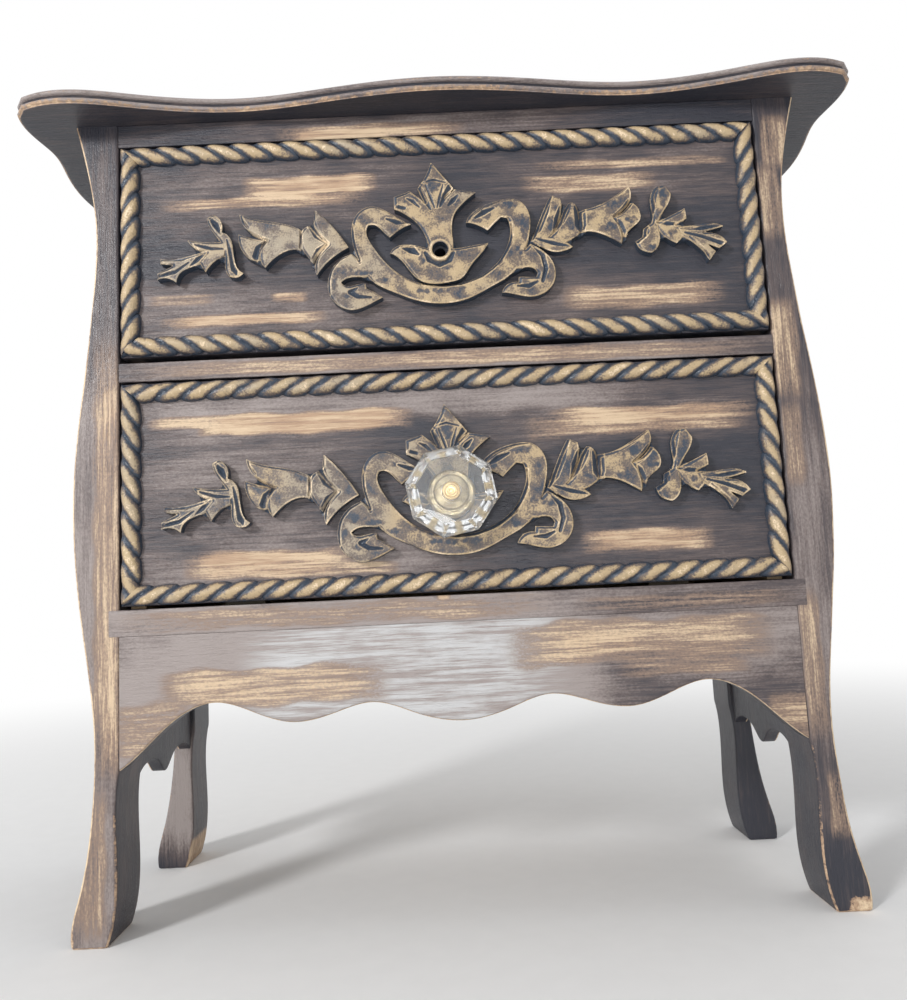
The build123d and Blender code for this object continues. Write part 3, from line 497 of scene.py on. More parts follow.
def slab(name, front, back, keep=None, values=None, angle=32.0):
    """A closed board between two sheets of the same grid, with a wall along every edge where a
    kept cell has no kept neighbour. Cells are kept where keep says so. The wear that the front
    sheet carries is gone a quarter of a millimetre down the wall."""
    n, m = front.shape[:2]
    if keep is None:
        keep = np.ones((n - 1, m - 1), bool)
    shift = n * m
    index = np.arange(shift).reshape(n, m)
    a, b, c, d = index[:-1, :-1], index[1:, :-1], index[1:, 1:], index[:-1, 1:]
    near = np.stack([a, b, c, d], -1)[keep]
    far = np.stack([d, c, b, a], -1)[keep] + shift
    padded = np.pad(keep, 1)
    walls = []
    for first, second, neighbour in (
        (a, b, padded[1:-1, :-2]), (b, c, padded[2:, 1:-1]),
        (c, d, padded[1:-1, 2:]), (d, a, padded[:-2, 1:-1]),
    ):
        open_side = keep & ~neighbour
        s, e = first[open_side], second[open_side]
        walls.append(np.stack([e, s, s + 2 * shift, e + 2 * shift], -1))
        walls.append(np.stack([e + 2 * shift, s + 2 * shift, s + shift, e + shift], -1))
    down = back - front
    lip = front + down * np.minimum(0.5, 0.25 / np.linalg.norm(down, axis=-1, keepdims=True))
    places = np.vstack([front.reshape(-1, 3), back.reshape(-1, 3), lip.reshape(-1, 3)])
    both = {}
    for word, value in (values or {}).items():
        sheet = np.broadcast_to(value, (n, m)).ravel()
        both[word] = np.concatenate([sheet, 0.0 * sheet, 0.0 * sheet])
    return new_piece(name, places, [near, far, np.vstack(walls)], both, angle)


def tube(name, rings, values=None, joined=False, angle=32.0):
    """A surface through rows of closed loops, with flat ends, or with its last loop joined to
    its first."""
    n, m = rings.shape[:2]
    row = np.arange(n if joined else n - 1)[:, None] * m
    after = (row + m) % (n * m)
    i = np.arange(m)
    j = (i + 1) % m
    faces = [np.stack([row + i, row + j, after + j, after + i], -1).reshape(-1, 4)]
    if not joined:
        faces += [i[::-1][None, :], (i + (n - 1) * m)[None, :]]
    return new_piece(name, rings.reshape(-1, 3), faces, values, angle)


def settle(piece, body, slot, material, *nodes):
    """Gives a new piece its body and its material, and hides the solids that it stands for; the
    slot is not used.
    """
    piece.data.materials.append(material)
    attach(piece, body)
    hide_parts(*nodes)
    return piece


# ---------------------------------------------------------------- shader building blocks
def feed(tree, socket, value):
    """Links a socket to an input, or sets the input to a value; None leaves it as it is."""
    if isinstance(value, bpy.types.NodeSocket):
        tree.links.new(value, socket)
    elif value is not None:
        socket.default_value = value


def put(tree, kind, *wired, **options):
    """Adds a node, sets its options and feeds its inputs in their order."""
    node = tree.nodes.new(kind)
    for word, option in options.items():
        setattr(node, word, option)
    for socket, value in zip(node.inputs, wired):
        feed(tree, socket, value)
    return node


def wire(tree, node, **inputs):
    """Feeds inputs of a node by name, with _ for a space, and returns its outputs."""
    for word, value in inputs.items():
        feed(tree, node.inputs[word.replace("_", " ")], value)
    return node.outputs


def maths(tree, operation, *values):
    """Result of one sum on sockets and numbers."""
    return put(tree, "ShaderNodeMath", *values, operation=operation).outputs[0]


def weighted(tree, *parts, plus=0.0):
    """Sum of plus and of each first value times its second."""
    total = plus
    for value, weight in parts:
        total = maths(tree, "MULTIPLY_ADD", value, weight, total)
    return total


def fade(tree, value, low, high):
    """0 below low and 1 above high, with a soft step between."""
    node = put(tree, "ShaderNodeMapRange", value, low, high, interpolation_type="SMOOTHSTEP")
    return node.outputs[0]


def blend(tree, share, first, second):
    """Colour between two colours, which are the seventh and eighth input of the node."""
    unused = [None] * 5
    node = put(tree, "ShaderNodeMix", share, *unused, first, second, data_type="RGBA")
    return node.outputs[2]


def noise(tree, vector, scale, detail=4.0, rough=0.55, distort=0.0):
    """Value noise about 0.5."""
    return wire(tree, put(tree, "ShaderNodeTexNoise"), Vector=vector, Scale=scale,
                Detail=detail, Roughness=rough, Distortion=distort)["Fac"]


def object_place(tree):
    """Object coordinates, in metres."""
    return put(tree, "ShaderNodeTexCoord").outputs["Object"]


def attribute(tree, name):
    """A value that the mesh carries."""
    return put(tree, "ShaderNodeAttribute", attribute_name=name).outputs["Fac"]


def seen(tree):
    """1 for what the camera, gloss and glass see, 0 for the light that falls on the chest."""
    path = put(tree, "ShaderNodeLightPath").outputs
    mirrored = maths(tree, "MAXIMUM", path["Is Glossy Ray"], path["Is Transmission Ray"])
    return maths(tree, "MAXIMUM", path["Is Camera Ray"], mirrored)


def rgb(colour):
    """A colour of three numbers as the four that a socket takes."""
    return (*colour, 1.0)


def new_group(name, given, made):
    """An empty shader node group whose inputs and outputs are named by kind. Returns it with the
    sockets that bring its inputs, and the node that takes its outputs."""
    tree = bpy.data.node_groups.new(name, "ShaderNodeTree")
    for side, kinds in (("INPUT", given), ("OUTPUT", made)):
        for kind, words in kinds.items():
            for word in words.split():
                tree.interface.new_socket(name=word, in_out=side, socket_type=f"NodeSocket{kind}")
    return tree, tree.nodes.new("NodeGroupInput").outputs, tree.nodes.new("NodeGroupOutput")


def group_node(tree, group, **inputs):
    """Places a group, feeds its inputs by name and returns its outputs."""
    return wire(tree, put(tree, "ShaderNodeGroup", node_tree=group), **inputs)


def brushed_grain():
    """Group: a brushed and grained surface. Its vector runs along the grain with x. Streaks,
    fibres, clouds and specks are noise drawn out along the grain, each spread by a soft step to
    run from 0 to 1. The height is fibres and specks less the pores."""
    name = "Brushed grain"
    if name in bpy.data.node_groups:
        return bpy.data.node_groups[name]
    tree, given, result = new_group(
        name, {"Vector": "Vector"}, {"Float": "Streaks Fibres Clouds Specks Height"})
    # For each: scale along and across the grain, detail, roughness, distortion, and the low and
    # high end of its soft step.
    kinds = {
        "Streaks": (30, 860, 7.0, 0.60, 0.25, 0.30, 0.70),
        "Fibres": (150, 2600, 4.0, 0.60, 0.15, 0.30, 0.70),
        "Clouds": (14, 40, 6.0, 0.62, 0.50, 0.32, 0.68),
        "Specks": (760, 1300, 3.0, 0.60, 0.0, 0.34, 0.66),
        "Pores": (130, 1900, 2.0, 0.55, 0.0, 0.60, 0.68),
    }
    masks = {}
    for word, (along, across, detail, rough, distort, low, high) in kinds.items():
        drawn_out = put(tree, "ShaderNodeVectorMath", given["Vector"], (along, across, across),
                        operation="MULTIPLY").outputs[0]
        masks[word] = fade(tree, noise(tree, drawn_out, 1.0, detail, rough, distort), low, high)
    masks["Height"] = weighted(tree, (masks["Fibres"], 0.35), (masks["Specks"], 0.25),
                               (masks.pop("Pores"), -1.0))
    wire(tree, result, **masks)
    return tree


def rubbed_paint():
    """Group: dark paint, tinted blue as a painted reflection, that thins to brown and to dun, a
    grey made paler as a painted sheen, and to a pale painted sheen where thin is highest; rubbed
    through to pale wood, with a brown fringe, where rub is high; and chipped to raw wood where edge
    is high. Each mask is a carried value plus weighted streaks, fibres, clouds and specks, cut by a
    soft step."""
    name = "Rubbed paint"
    if name in bpy.data.node_groups:
        return bpy.data.node_groups[name]
    tree, given, result = new_group(
        name, {"Float": "Rub Thin Edge Streaks Fibres Clouds Specks Chips",
               "Color": "Paint Brown Dun Silver Wood Raw"},
        {"Color": "Color", "Float": "Wear Height"})

    def total(plus=0.0, **weights):
        """Sum of plus and of the group's inputs, each times its weight."""
        parts = ((given[word], weight) for word, weight in weights.items())
        return weighted(tree, *parts, plus=plus)

    thin = fade(tree, total(Streaks=0.30, Clouds=0.36, Fibres=0.24, Thin=0.85), 0.34, 1.14)
    # Dun: worn-thin paint, its grey made paler as a painted sheen.
    dun = fade(tree, total(Thin=0.80, Clouds=0.26, Specks=0.14, Streaks=0.22), 0.60, 1.18)
    brushed = fade(tree, total(Streaks=0.50, Clouds=0.30, Fibres=0.20), 0.22, 0.74)
    # A painted sheen: where thin is highest the colour turns to the pale sheen colour, a reflection
    # painted in, streaked with the brushing.
    smooth = maths(tree, "MULTIPLY", fade(tree, given["Thin"], 1.15, 1.8), brushed)
    # The whole paint's blue tint is a painted reflection of blue light on the dark paint.
    paint = blend(tree, thin, given["Paint"], given["Brown"])
    paint = blend(tree, dun, paint, blend(tree, smooth, given["Dun"], given["Silver"]))

    near = fade(tree, given["Rub"], 0.02, 0.40)
    grain = total(-0.50, Streaks=0.40, Clouds=0.24, Specks=0.20, Fibres=0.16)
    worn = weighted(tree, (near, grain), plus=given["Rub"])
    fringe = maths(tree, "MULTIPLY", fade(tree, worn, 0.02, 0.36), 0.8)
    rubbed = blend(tree, fringe, paint, blend(tree, 0.40, given["Brown"], given["Wood"]))
    inner = fade(tree, total(Streaks=0.60, Clouds=0.50, Fibres=0.20), 0.36, 0.98)
    bare = blend(tree, maths(tree, "MULTIPLY", inner, 0.62), given["Wood"], given["Raw"])
    line = maths(tree, "MULTIPLY", fade(tree, given["Streaks"], 0.24, 0.0), 0.5)
    through = fade(tree, worn, 0.30, 0.84)
    rubbed = blend(tree, through, rubbed, blend(tree, line, bare, given["Brown"]))

    chips = total(-0.55, Edge=1.0, Chips=1.1)
    chipped = fade(tree, chips, 0.58, 0.74)
    bright = blend(tree, fade(tree, chips, 0.70, 1.0), given["Wood"], given["Raw"])
    wear = maths(tree, "MAXIMUM", through, chipped)
    wire(tree, result, Color=blend(tree, chipped, rubbed, bright), Wear=wear,
         Height=maths(tree, "MULTIPLY", wear, -1.0))
    return tree


def rubbed_crest():
    """Group: dark glazing left in hollows, tinted blue and lightened on the bevels as a painted
    reflection, umber paint on flats and pale rub on crests. The mask is the carried crest value
    plus noise about its middle, cut by soft steps; greyed makes the rub greyer."""
    name = "Rubbed crest"
    if name in bpy.data.node_groups:
        return bpy.data.node_groups[name]
    tree, given, result = new_group(
        name, {"Float": "Crest Greyed", "Vector": "Vector", "Color": "Glaze Mid Rubbed Pale Grey"},
        {"Color": "Color", "Float": "Wear Height"})
    place = given["Vector"]
    blotch = fade(tree, noise(tree, place, 190.0, 5.0, 0.6, 0.4), 0.32, 0.68)
    fine = fade(tree, noise(tree, place, 1300.0, 3.0, 0.6), 0.32, 0.68)
    broad = noise(tree, place, 34.0, 3.0, 0.5)
    crest = weighted(tree, (given["Crest"], 1.0), (blotch, 0.30), (fine, 0.22), plus=-0.26)
    grey = fade(tree, maths(tree, "ADD", broad, given["Greyed"]), 0.50, 0.80)
    rubbed = blend(tree, maths(tree, "MULTIPLY", grey, 0.7), given["Rubbed"], given["Grey"])
    top = fade(tree, crest, 0.40, 0.72)
    # Hollows and bevels take the glazing colour: dark paint with a painted blue reflection.
    colour = blend(tree, fade(tree, crest, 0.12, 0.42), given["Glaze"], given["Mid"])
    colour = blend(tree, top, colour, rubbed)
    colour = blend(tree, fade(tree, crest, 0.82, 1.04), colour, given["Pale"])
    wire(tree, result, Color=colour, Wear=top, Height=maths(tree, "ADD", fine, blotch))
    return tree


# ---------------------------------------------------------------- materials
GRAIN_TURNS = {"x": (0, 0, 0), "y": (0, 0, -math.pi / 2), "z": (0, math.pi / 2, 0)}


def surface(name, **sockets):
    """A material with its own Principled shader; returns it with its tree and shader."""
    material = bpy.data.materials.new(name)
    material.use_nodes = True
    tree = material.node_tree
    shader = next(n for n in tree.nodes if n.type == "BSDF_PRINCIPLED")
    wire(tree, shader, **sockets)
    return material, tree, shader


def bumped(tree, height, strength, distance):
    """Normal of the surface, tilted by a height."""
    return wire(tree, put(tree, "ShaderNodeBump"), Strength=strength, Distance=distance,
                Height=height)[0]


def grain_along(tree, place, axis):
    """The brushed grain with its streaks along one axis."""
    turned = put(tree, "ShaderNodeMapping", place, None, GRAIN_TURNS[axis]).outputs[0]
    return group_node(tree, brushed_grain(), Vector=turned)


def painted(axis):
    """Dark rubbed paint on wood whose grain runs along one axis."""
    name = f"Dark rubbed paint along {axis}"
    if name in bpy.data.materials:
        return bpy.data.materials[name]
    colours = bpy.context.scene.chest_colours
    material, tree, shader = surface(name, Specular_IOR_Level=0.36)
    place = object_place(tree)
    grain = grain_along(tree, place, axis)
    finish = group_node(
        tree, rubbed_paint(), Chips=noise(tree, place, 420.0, 7.0, 0.74, 0.2),
        **{word: attribute(tree, word.lower()) for word in ("Rub", "Thin", "Edge")},
        **{word: grain[word] for word in ("Streaks", "Fibres", "Clouds", "Specks")},
        **{word: rgb(getattr(colours, word.lower()))
           for word in ("Paint", "Brown", "Dun", "Silver", "Wood", "Raw")})
    height = weighted(tree, (finish["Height"], 0.8), plus=grain["Height"])
    wire(tree, shader, Base_Color=finish["Color"], Normal=bumped(tree, height, 0.5, 0.00025),
         Roughness=weighted(tree, (finish["Wear"], 0.18), (grain["Fibres"], 0.16), plus=0.28))
    return material


def crested(name, greyed):
    """Dark glazing rubbed back on the crests, for the ropes and the carving; the glazing's blue is
    a painted reflection. The rub is greyer by that much to the left of the middle."""
    if name in bpy.data.materials:
        return bpy.data.materials[name]
    colours = bpy.context.scene.chest_colours
    material, tree, shader = surface(name, Specular_IOR_Level=0.42)
    place = object_place(tree)
    across = put(tree, "ShaderNodeSeparateXYZ", place).outputs[0]
    finish = group_node(
        tree, rubbed_crest(), Crest=attribute(tree, "edge"), Vector=place,
        Greyed=maths(tree, "MULTIPLY", fade(tree, across, 0.0, -0.05), greyed),
        Glaze=rgb(colours.glaze), Mid=rgb(colours.umber), Rubbed=rgb(colours.gold),
        Pale=rgb(colours.raw), Grey=rgb(colours.grey))
    wire(tree, shader, Base_Color=finish["Color"],
         Roughness=weighted(tree, (finish["Wear"], 0.14), plus=0.30),
         Normal=bumped(tree, finish["Height"], 0.35, 0.0002))
    return material


def raw_wood(axis, darkened=False):
    """Plain unfinished wood of the hidden joinery, its grain along one axis. Darkened, it takes a
    painted shade, as dark as the shadow in the gap under a drawer."""
    name = f"Aged wood along {axis}" if darkened else f"Raw wood along {axis}"
    if name in bpy.data.materials:
        return bpy.data.materials[name]
    colours = bpy.context.scene.chest_colours
    material, tree, shader = surface(name)
    grain = grain_along(tree, object_place(tree), axis)
    tone = fade(tree, weighted(tree, (grain["Streaks"], 0.6), (grain["Clouds"], 0.4)), 0.05, 0.95)
    # Painted shade: the drawer stops' wood is made nearly as dark as the paint, the shadow in the
    # gap under a drawer.
    shade = 0.16 if darkened else 1.0
    dark, light = (rgb([c * shade for c in tint]) for tint in (colours.lining_dark, colours.lining))
    wire(tree, shader, Base_Color=blend(tree, tone, dark, light),
         Roughness=weighted(tree, (grain["Fibres"], 0.18), plus=0.5),
         Normal=bumped(tree, grain["Height"], 0.3, 0.0002))
    return material


def metal(name, bright, dull, rough):
    """Plated metal with a patchy tarnish: noise mixes two tones and adds to the roughness."""
    if name in bpy.data.materials:
        return bpy.data.materials[name]
    material, tree, shader = surface(name, Metallic=1.0)
    patch = noise(tree, object_place(tree), 260.0, 5.0, 0.6)
    tone = blend(tree, fade(tree, patch, 0.38, 0.66), rgb(bright), rgb(dull))
    wire(tree, shader, Base_Color=tone, Roughness=weighted(tree, (patch, 0.3), plus=rough),
         Normal=bumped(tree, patch, 0.15, 0.0001))
    return material


def clear_glass():
    """Clear glass with faint rubbing marks that only change its roughness."""
    name = "Clear cut glass"
    if name in bpy.data.materials:
        return bpy.data.materials[name]
    material, tree, shader = surface(
        name, Base_Color=(0.97, 0.99, 1, 1), Transmission_Weight=0.92, IOR=1.52)
    marks = fade(tree, noise(tree, object_place(tree), 420.0, 6.0, 0.7), 0.62, 0.78)
    wire(tree, shader, Roughness=maths(tree, "MULTIPLY", marks, 0.10))
    return material


# ---------------------------------------------------------------- settings
class ChestSizes(bpy.types.PropertyGroup):
    """Sizes that the finish of the chest depends on; the frame gives all the others."""
    post_ease: bpy.props.FloatProperty(
        name="Post arris", description="Radius of the eased arrises of the posts and legs",
        default=0.0011, min=0.0001, unit="LENGTH")
    board_ease: bpy.props.FloatProperty(
        name="Board arris", description="Radius of the eased arrises of rails and drawer fronts",
        default=0.0006, min=0.0001, unit="LENGTH")
    strand_pitch: bpy.props.FloatProperty(
        name="Strand pitch", description="Distance along a rope moulding from strand to strand",
        default=0.0102, min=0.002, unit="LENGTH")
    strand_lay: bpy.props.FloatProperty(
        name="Strand lay", description="Angle between a strand and the rope at its crest",
        default=math.radians(35), subtype="ANGLE")
    strand_depth: bpy.props.FloatProperty(
        name="Strand depth", description="Depth of the grooves between the strands",
        default=0.0014, min=0.0, unit="LENGTH")
    carving_cell: bpy.props.FloatProperty(
        name="Carving cell", description="Grid spacing of the carved ornament",
        default=0.00031, min=0.0002, unit="LENGTH")
    carving_bevel: bpy.props.FloatProperty(
        name="Carving bevel", description="Width of the widest bevel, on the upper left of a leaf",
        default=0.0014, min=0.0003, unit="LENGTH")


def colour_setting(name, description, default):
    return bpy.props.FloatVectorProperty(
        name=name, description=description, default=default, size=3, min=0, max=1, subtype="COLOR")


class ChestColours(bpy.types.PropertyGroup):
    """Colours of the finishes."""
    # Dark paint tinted blue: its blue is a painted reflection on the satin paint.
    paint: colour_setting("Paint", "Dark paint where it is whole", (0.036, 0.037, 0.048))
    brown: colour_setting("Brown", "Where the paint is worn thin", (0.130, 0.100, 0.095))
    # Dun is partly worn paint and partly a painted sheen, paler than the worn grey alone.
    dun: colour_setting("Dun", "Where the paint is worn thinnest", (0.310, 0.268, 0.254))
    silver: colour_setting("Silver", "Where the finish is smoothest", (0.52, 0.52, 0.525))
    # A pale painted sheen, a reflection painted into the colour where thin is highest, on the
    # apron's middle.
    wood: colour_setting("Wood", "Wood where the paint is rubbed through", (0.42, 0.28, 0.185))
    raw: colour_setting("Raw wood", "Chips and the palest rubbed places", (0.76, 0.60, 0.41))
    # Dark glazing in hollows and on bevels, lightened and tinted blue as a painted reflection.
    glaze: colour_setting("Glaze", "Dark glaze in hollows of the carving", (0.036, 0.050, 0.074))
    umber: colour_setting("Umber", "Paint left on the flats of the carving", (0.135, 0.105, 0.088))
    gold: colour_setting("Rubbed crest", "Crests of ropes and carving", (0.46, 0.345, 0.205))
    grey: colour_setting("Grey crest", "Crests where grey paint is left", (0.31, 0.28, 0.235))
    lining: colour_setting("Lining", "Unfinished wood inside", (0.50, 0.365, 0.225))
    lining_dark: colour_setting(
        "Lining streaks", "Darker streaks of the unfinished wood", (0.375, 0.255, 0.145))


class StudioSettings(bpy.types.PropertyGroup):
    """The floor and the lamps."""
    floor_colour: colour_setting("Floor", "Colour of the floor", (0.88, 0.88, 0.88))
    floor_radius: bpy.props.FloatProperty(
        name="Floor radius", description="Radius of the floor disc", default=6.0, unit="LENGTH")
    key_power: bpy.props.FloatProperty(
        name="Key lamp", description="Power of the lamp at the front left",
        default=15.0, unit="POWER")
    fill_power: bpy.props.FloatProperty(
        name="Fill lamps", description="Power of each of the lamps that fill the shadows",
        default=4.0, unit="POWER")


# ---------------------------------------------------------------- carcass
def flat_wear(name, x, z, edge):
    """The three carried values of a painted piece, its rubs and thin places from the tables."""
    return {"rub": soft_box(x, z, RUBS.get(name, [])),
            "thin": soft_box(x, z, THINS.get(name, []), True), "edge": edge}


def settle_painted(piece, axis, node, body=ROOT):
    """Settles a painted piece whose grain runs along an axis."""
    return settle(piece, body, "dark_distressed_paint", painted(axis), node)


def post_span(z):
    """Inner and outer face of a right-hand post at each height."""
    outer = curve([(OPENING + w, share * BODY_TOP) for w, share in POST_OUTER], 600)[::-1]
    inner = curve([(OPENING + s, share * LEG) for s, share in LEG_INNER], 200)
    return np.interp(z, inner[:, 1], inner[:, 0]), np.interp(z, outer[:, 1], outer[:, 0])


def rounded_loop(wide, deep, arc):
    """Closed loop round a unit rectangle: the share across and the share deep of each place, and
    the direction in which an eased corner pushes it out."""
    rows = []
    turns = np.linspace(0, math.pi / 2, arc + 1)[1:-1]
    corners = [(0, 0), (1, 0), (1, 1), (0, 1)]
    for k, count in enumerate((wide, deep, wide, deep)):
        (u0, v0), (u1, v1) = corners[k], corners[(k + 1) % 4]
        facing = -math.pi / 2 + k * math.pi / 2
        share = np.concatenate([[0.0, 0.03], np.linspace(0.1, 0.9, count), [0.97, 1.0]])
        level = np.ones(len(share))
        rows.append(np.stack([u0 + (u1 - u0) * share, v0 + (v1 - v0) * share,
                              level * math.cos(facing), level * math.sin(facing)], -1))
        rows.append(np.stack([np.full(arc - 1, u1), np.full(arc - 1, v1),
                              np.cos(facing + turns), np.sin(facing + turns)], -1))
    return np.vstack(rows).T


class CHEST_OT_posts(bpy.types.Operator):
    """Builds the four posts: a rounded loop stretched to the bombe outline at each height"""
    bl_idname = "chest.posts"
    bl_label = "Posts and legs"

    def execute(self, context):
        ease = context.scene.chest_sizes.post_ease / MM
        foot_ease, row_height, chip_depth = 0.9, 1.6, 7.0
        z = lines(0.0, BODY_TOP, row_height, foot_ease)[:, None]
        inner, outer = post_span(z)
        u, v, push_x, push_y = rounded_loop(8, 10, 4)
        corner = 2 * np.abs(push_x * push_y)
        foot = quarter_round(z, foot_ease)
        for word, side in SIDES.items():
            x0, x1 = (inner, outer) if side > 0 else (-outer, -inner)
            for place, y0 in (("front", FRONT_Y), ("back", BACK_POST_Y)):
                y1 = y0 + POST_DEPTH
                radius = ease * (1 + 0.35 * wobble(z, z * 0, hash_word(place + word), 40))
                x = x0 + foot + radius + u * (x1 - x0 - 2 * foot - 2 * radius) + radius * push_x
                y = y0 + foot + radius + v * (y1 - y0 - 2 * foot - 2 * radius) + radius * push_y
                height = np.broadcast_to(z, x.shape)
                # The outer arrises are worn most, then the legs', and the soles all over.
                outward = np.sign(push_x) == side
                share = np.where(outward, 0.98, np.where(height < LEG, 0.86 - height / 260, 0.15))
                edge = np.minimum(corner * 1.6, 1) * share
                edge = edge * (0.9 + 0.25 * wobble(height, 3 * x, 11 + side, 30))
                if place == "front":
                    chips = soft_box(x, height, FOOT_CHIPS[word])
                    edge = np.maximum(edge, chips * np.clip(1.2 - (y - y0) / chip_depth, 0, 1))
                edge = np.maximum(edge, 0.74 * (height < 0.7))
                # Rubs lie on the front faces, or on the outer faces of the back posts.
                facing = np.clip(-push_y, 0, 1) + 0 * height
                bare = facing if place == "front" else np.clip(-side * push_x, 0, 1)
                name = f"{place}_post_{word}"
                values = flat_wear(name, x, height, edge * (1.0 if place == "front" else 0.6))
                values["rub"] *= bare
                values["thin"] *= 0.3 + 0.7 * facing
                rings = np.stack([x, y, height], -1)
                settle_painted(tube(f"{name}_shaped", rings, values), "z", name)
        return {"FINISHED"}


class CHEST_OT_side_panels(bpy.types.Operator):
    """Builds the two side panels: the posts' outline set in, with a scalloped lower edge"""
    bl_idname = "chest.side_panels"
    bl_label = "Side panels"

    def execute(self, context):
        ease = context.scene.chest_sizes.board_ease / MM
        set_in, thick = 2.0, 6.0
        way = BACK_POST_Y - POST_BACK
        scallop = curve([(POST_BACK + share * way, LEG + rise) for share, rise in SIDE_EDGE], 300)
        y = np.linspace(POST_BACK, BACK_POST_Y, 60)[:, None]
        low = np.interp(y, scallop[:, 0], scallop[:, 1])
        z = low + lines(0, 1, 0.009, ease / (BODY_TOP - LEG))[None, :] * (BODY_TOP - low)
        y = np.broadcast_to(y, z.shape)
        face = post_span(z)[1] - set_in
        drop = quarter_round(z - low, ease)
        for word, side in SIDES.items():
            outside = np.stack([side * (face - drop), y, z], -1)
            inside = np.stack([side * (face - thick + drop), y, z], -1)
            values = {
                "rub": np.clip(0.32 * wobble(y * 0.5, z, 5 + side, 90), 0, 1),
                "thin": 0.35 + 0.35 * wobble(y, z, 9 + side, 120),
                "edge": np.clip(0.9 - (z - low) / 1.4, 0, 1),
            }
            name = f"side_panel_{word}"
            settle_painted(slab(f"{name}_shaped", outside, inside, values=values), "z", name)
        return {"FINISHED"}


class CHEST_OT_top_board(bpy.types.Operator):
    """Builds the top board: its wavy outline carried through a profile of two beads"""
    bl_idname = "chest.top_board"
    bl_label = "Top board"

    def plan(self):
        """Closed outline seen from above, and the way out of it at each place: square to the
        outline, evened out over its neighbours."""
        half, rear_step = TOP_HIGH[0], 3.4
        front = curve([(-share * half, FRONT_Y - reach) for share, reach in reversed(TOP_FRONT[1:])]
                      + [(share * half, FRONT_Y - reach) for share, reach in TOP_FRONT], 360)
        side = [(half - step, FRONT_Y + share * BODY_DEPTH) for step, share in TOP_SIDE]
        right = curve(side + [(half - rear_step, TOP_HIGH[1])], 130)
        left = right[::-1] * (-1, 1)
        turn = front[-1] + np.linspace(0, 1, 8)[1:-1, None] * (right[0] - front[-1])
        rear = np.linspace(right[-1], left[0], 90)[1:-1]
        outline = np.vstack([front, turn, right, rear, left, (turn * (-1, 1))[::-1]])
        ahead = np.roll(outline, -1, axis=0) - np.roll(outline, 1, axis=0)
        out = np.stack([ahead[:, 1], -ahead[:, 0]], -1)
        for _ in range(3):
            out = out + np.roll(out, 1, axis=0) + np.roll(out, -1, axis=0)
        return outline, out / np.linalg.norm(out, axis=1)[:, None]

    def profile(self):
        """Moulded edge from below: how far it is drawn in, its height and how worn it is, the pale
        line along the upper bead's crest partly a painted highlight.
        """
        turns = np.radians(np.linspace(-78, 78, 9))
        bead = np.stack([1.15 * (1.0 - np.cos(turns)), 0.98 * np.sin(turns)], -1)
        rows = [(1.5, 0.0, 0.1), (0.95, 0.08, 0.72)]
        rows += [(d, 1.38 + h, 0.64 - 0.12 * h) for d, h in bead]
        rows += [(1.25, 2.55, 0.1), (1.5, 3.0, 0.0), (1.25, 3.45, 0.1)]
        # The upper bead's crest is worn to a pale line, which also stands for a painted highlight
        # along it.
        rows += [(d, 4.62 + h, 0.34 + 0.30 * (1 - abs(h))**2) for d, h in bead]
        rows += [(0.95, 5.86, 0.60), (1.3, 5.97, 0.55), (2.0, 6.0, 0.30)]
        return np.array(rows).T

    def execute(self, context):
        outline, out = self.plan()
        drawn_in, level, worn = self.profile()
        base, top = TOP_LOW[2], TOP_HIGH[2]
        shown = outline[None] - out[None] * drawn_in[:, None, None]
        height = np.broadcast_to((base + level)[:, None, None], (*shown.shape[:2], 1))
        centre = np.array([0, (TOP_LOW[1] + TOP_HIGH[1]) / 2])
        shrink = np.array([0.985, 0.96, 0.9, 0.8, 0.65, 0.5, 0.35, 0.2, 0.08])[:, None, None]

        def face(edge_row, z):
            flat = centre + shrink * (edge_row[None] - centre)
            return np.concatenate([flat, np.full((*flat.shape[:2], 1), z)], -1)

        rings = np.concatenate([face(shown[0], base)[::-1], np.concatenate([shown, height], -1),
                                face(shown[-1], top)])
        rows = len(shrink)
        worn = np.concatenate([np.zeros(rows), worn, np.linspace(0.25, 0, rows)])[:, None]
        x, y = rings[..., 0], rings[..., 1]
        above = (np.arange(len(rings)) >= rows + len(level) - 1)[:, None]
        thin = np.where(above, 0.5 + 0.3 * wobble(x * 0.4, y, 14, 60), 0.0)
        values = {
            "edge": worn * (0.92 + 0.22 * wobble(x, y, 3, 60)),
            "rub": np.where(above, np.clip(0.55 * wobble(x * 0.35, y, 12, 45), 0, 1), 0.0),
            # Where the moulded edge is worn it is also thinned to a paler grey, partly a painted
            # highlight on the upper bead.
            "thin": thin + 0.8 * (worn > 0.2) * ~above,
        }
        settle_painted(tube("top_board_moulded", rings, values), "x", "top_board")
        return {"FINISHED"}


def rail(name, half, ease, proud, end_ease):
    """A front rail: a board with eased arrises along it, and at its ends where they are free."""
    low, high = span(name)
    x = lines(-half, half, 1.2, max(end_ease, 0.01))[:, None]
    z = lines(low[2], high[2], 0.9, ease)[None, :]
    inset = np.minimum(z - low[2], high[2] - z) + 0 * x
    end = half - np.abs(x) + 0 * z
    drop = quarter_round(inset, ease) + quarter_round(end, end_ease)
    x, z = np.broadcast_arrays(x, z)
    front = np.stack([x, low[1] - proud + drop, z], -1)
    back = np.stack([x, np.full(x.shape, high[1]), z], -1)
    near = np.minimum(inset, end) if end_ease else inset
    values = flat_wear(name, x, z, np.clip(0.5 - near / 0.8, 0, 1))
    return slab(f"{name}_shaped", front, back, values=values)


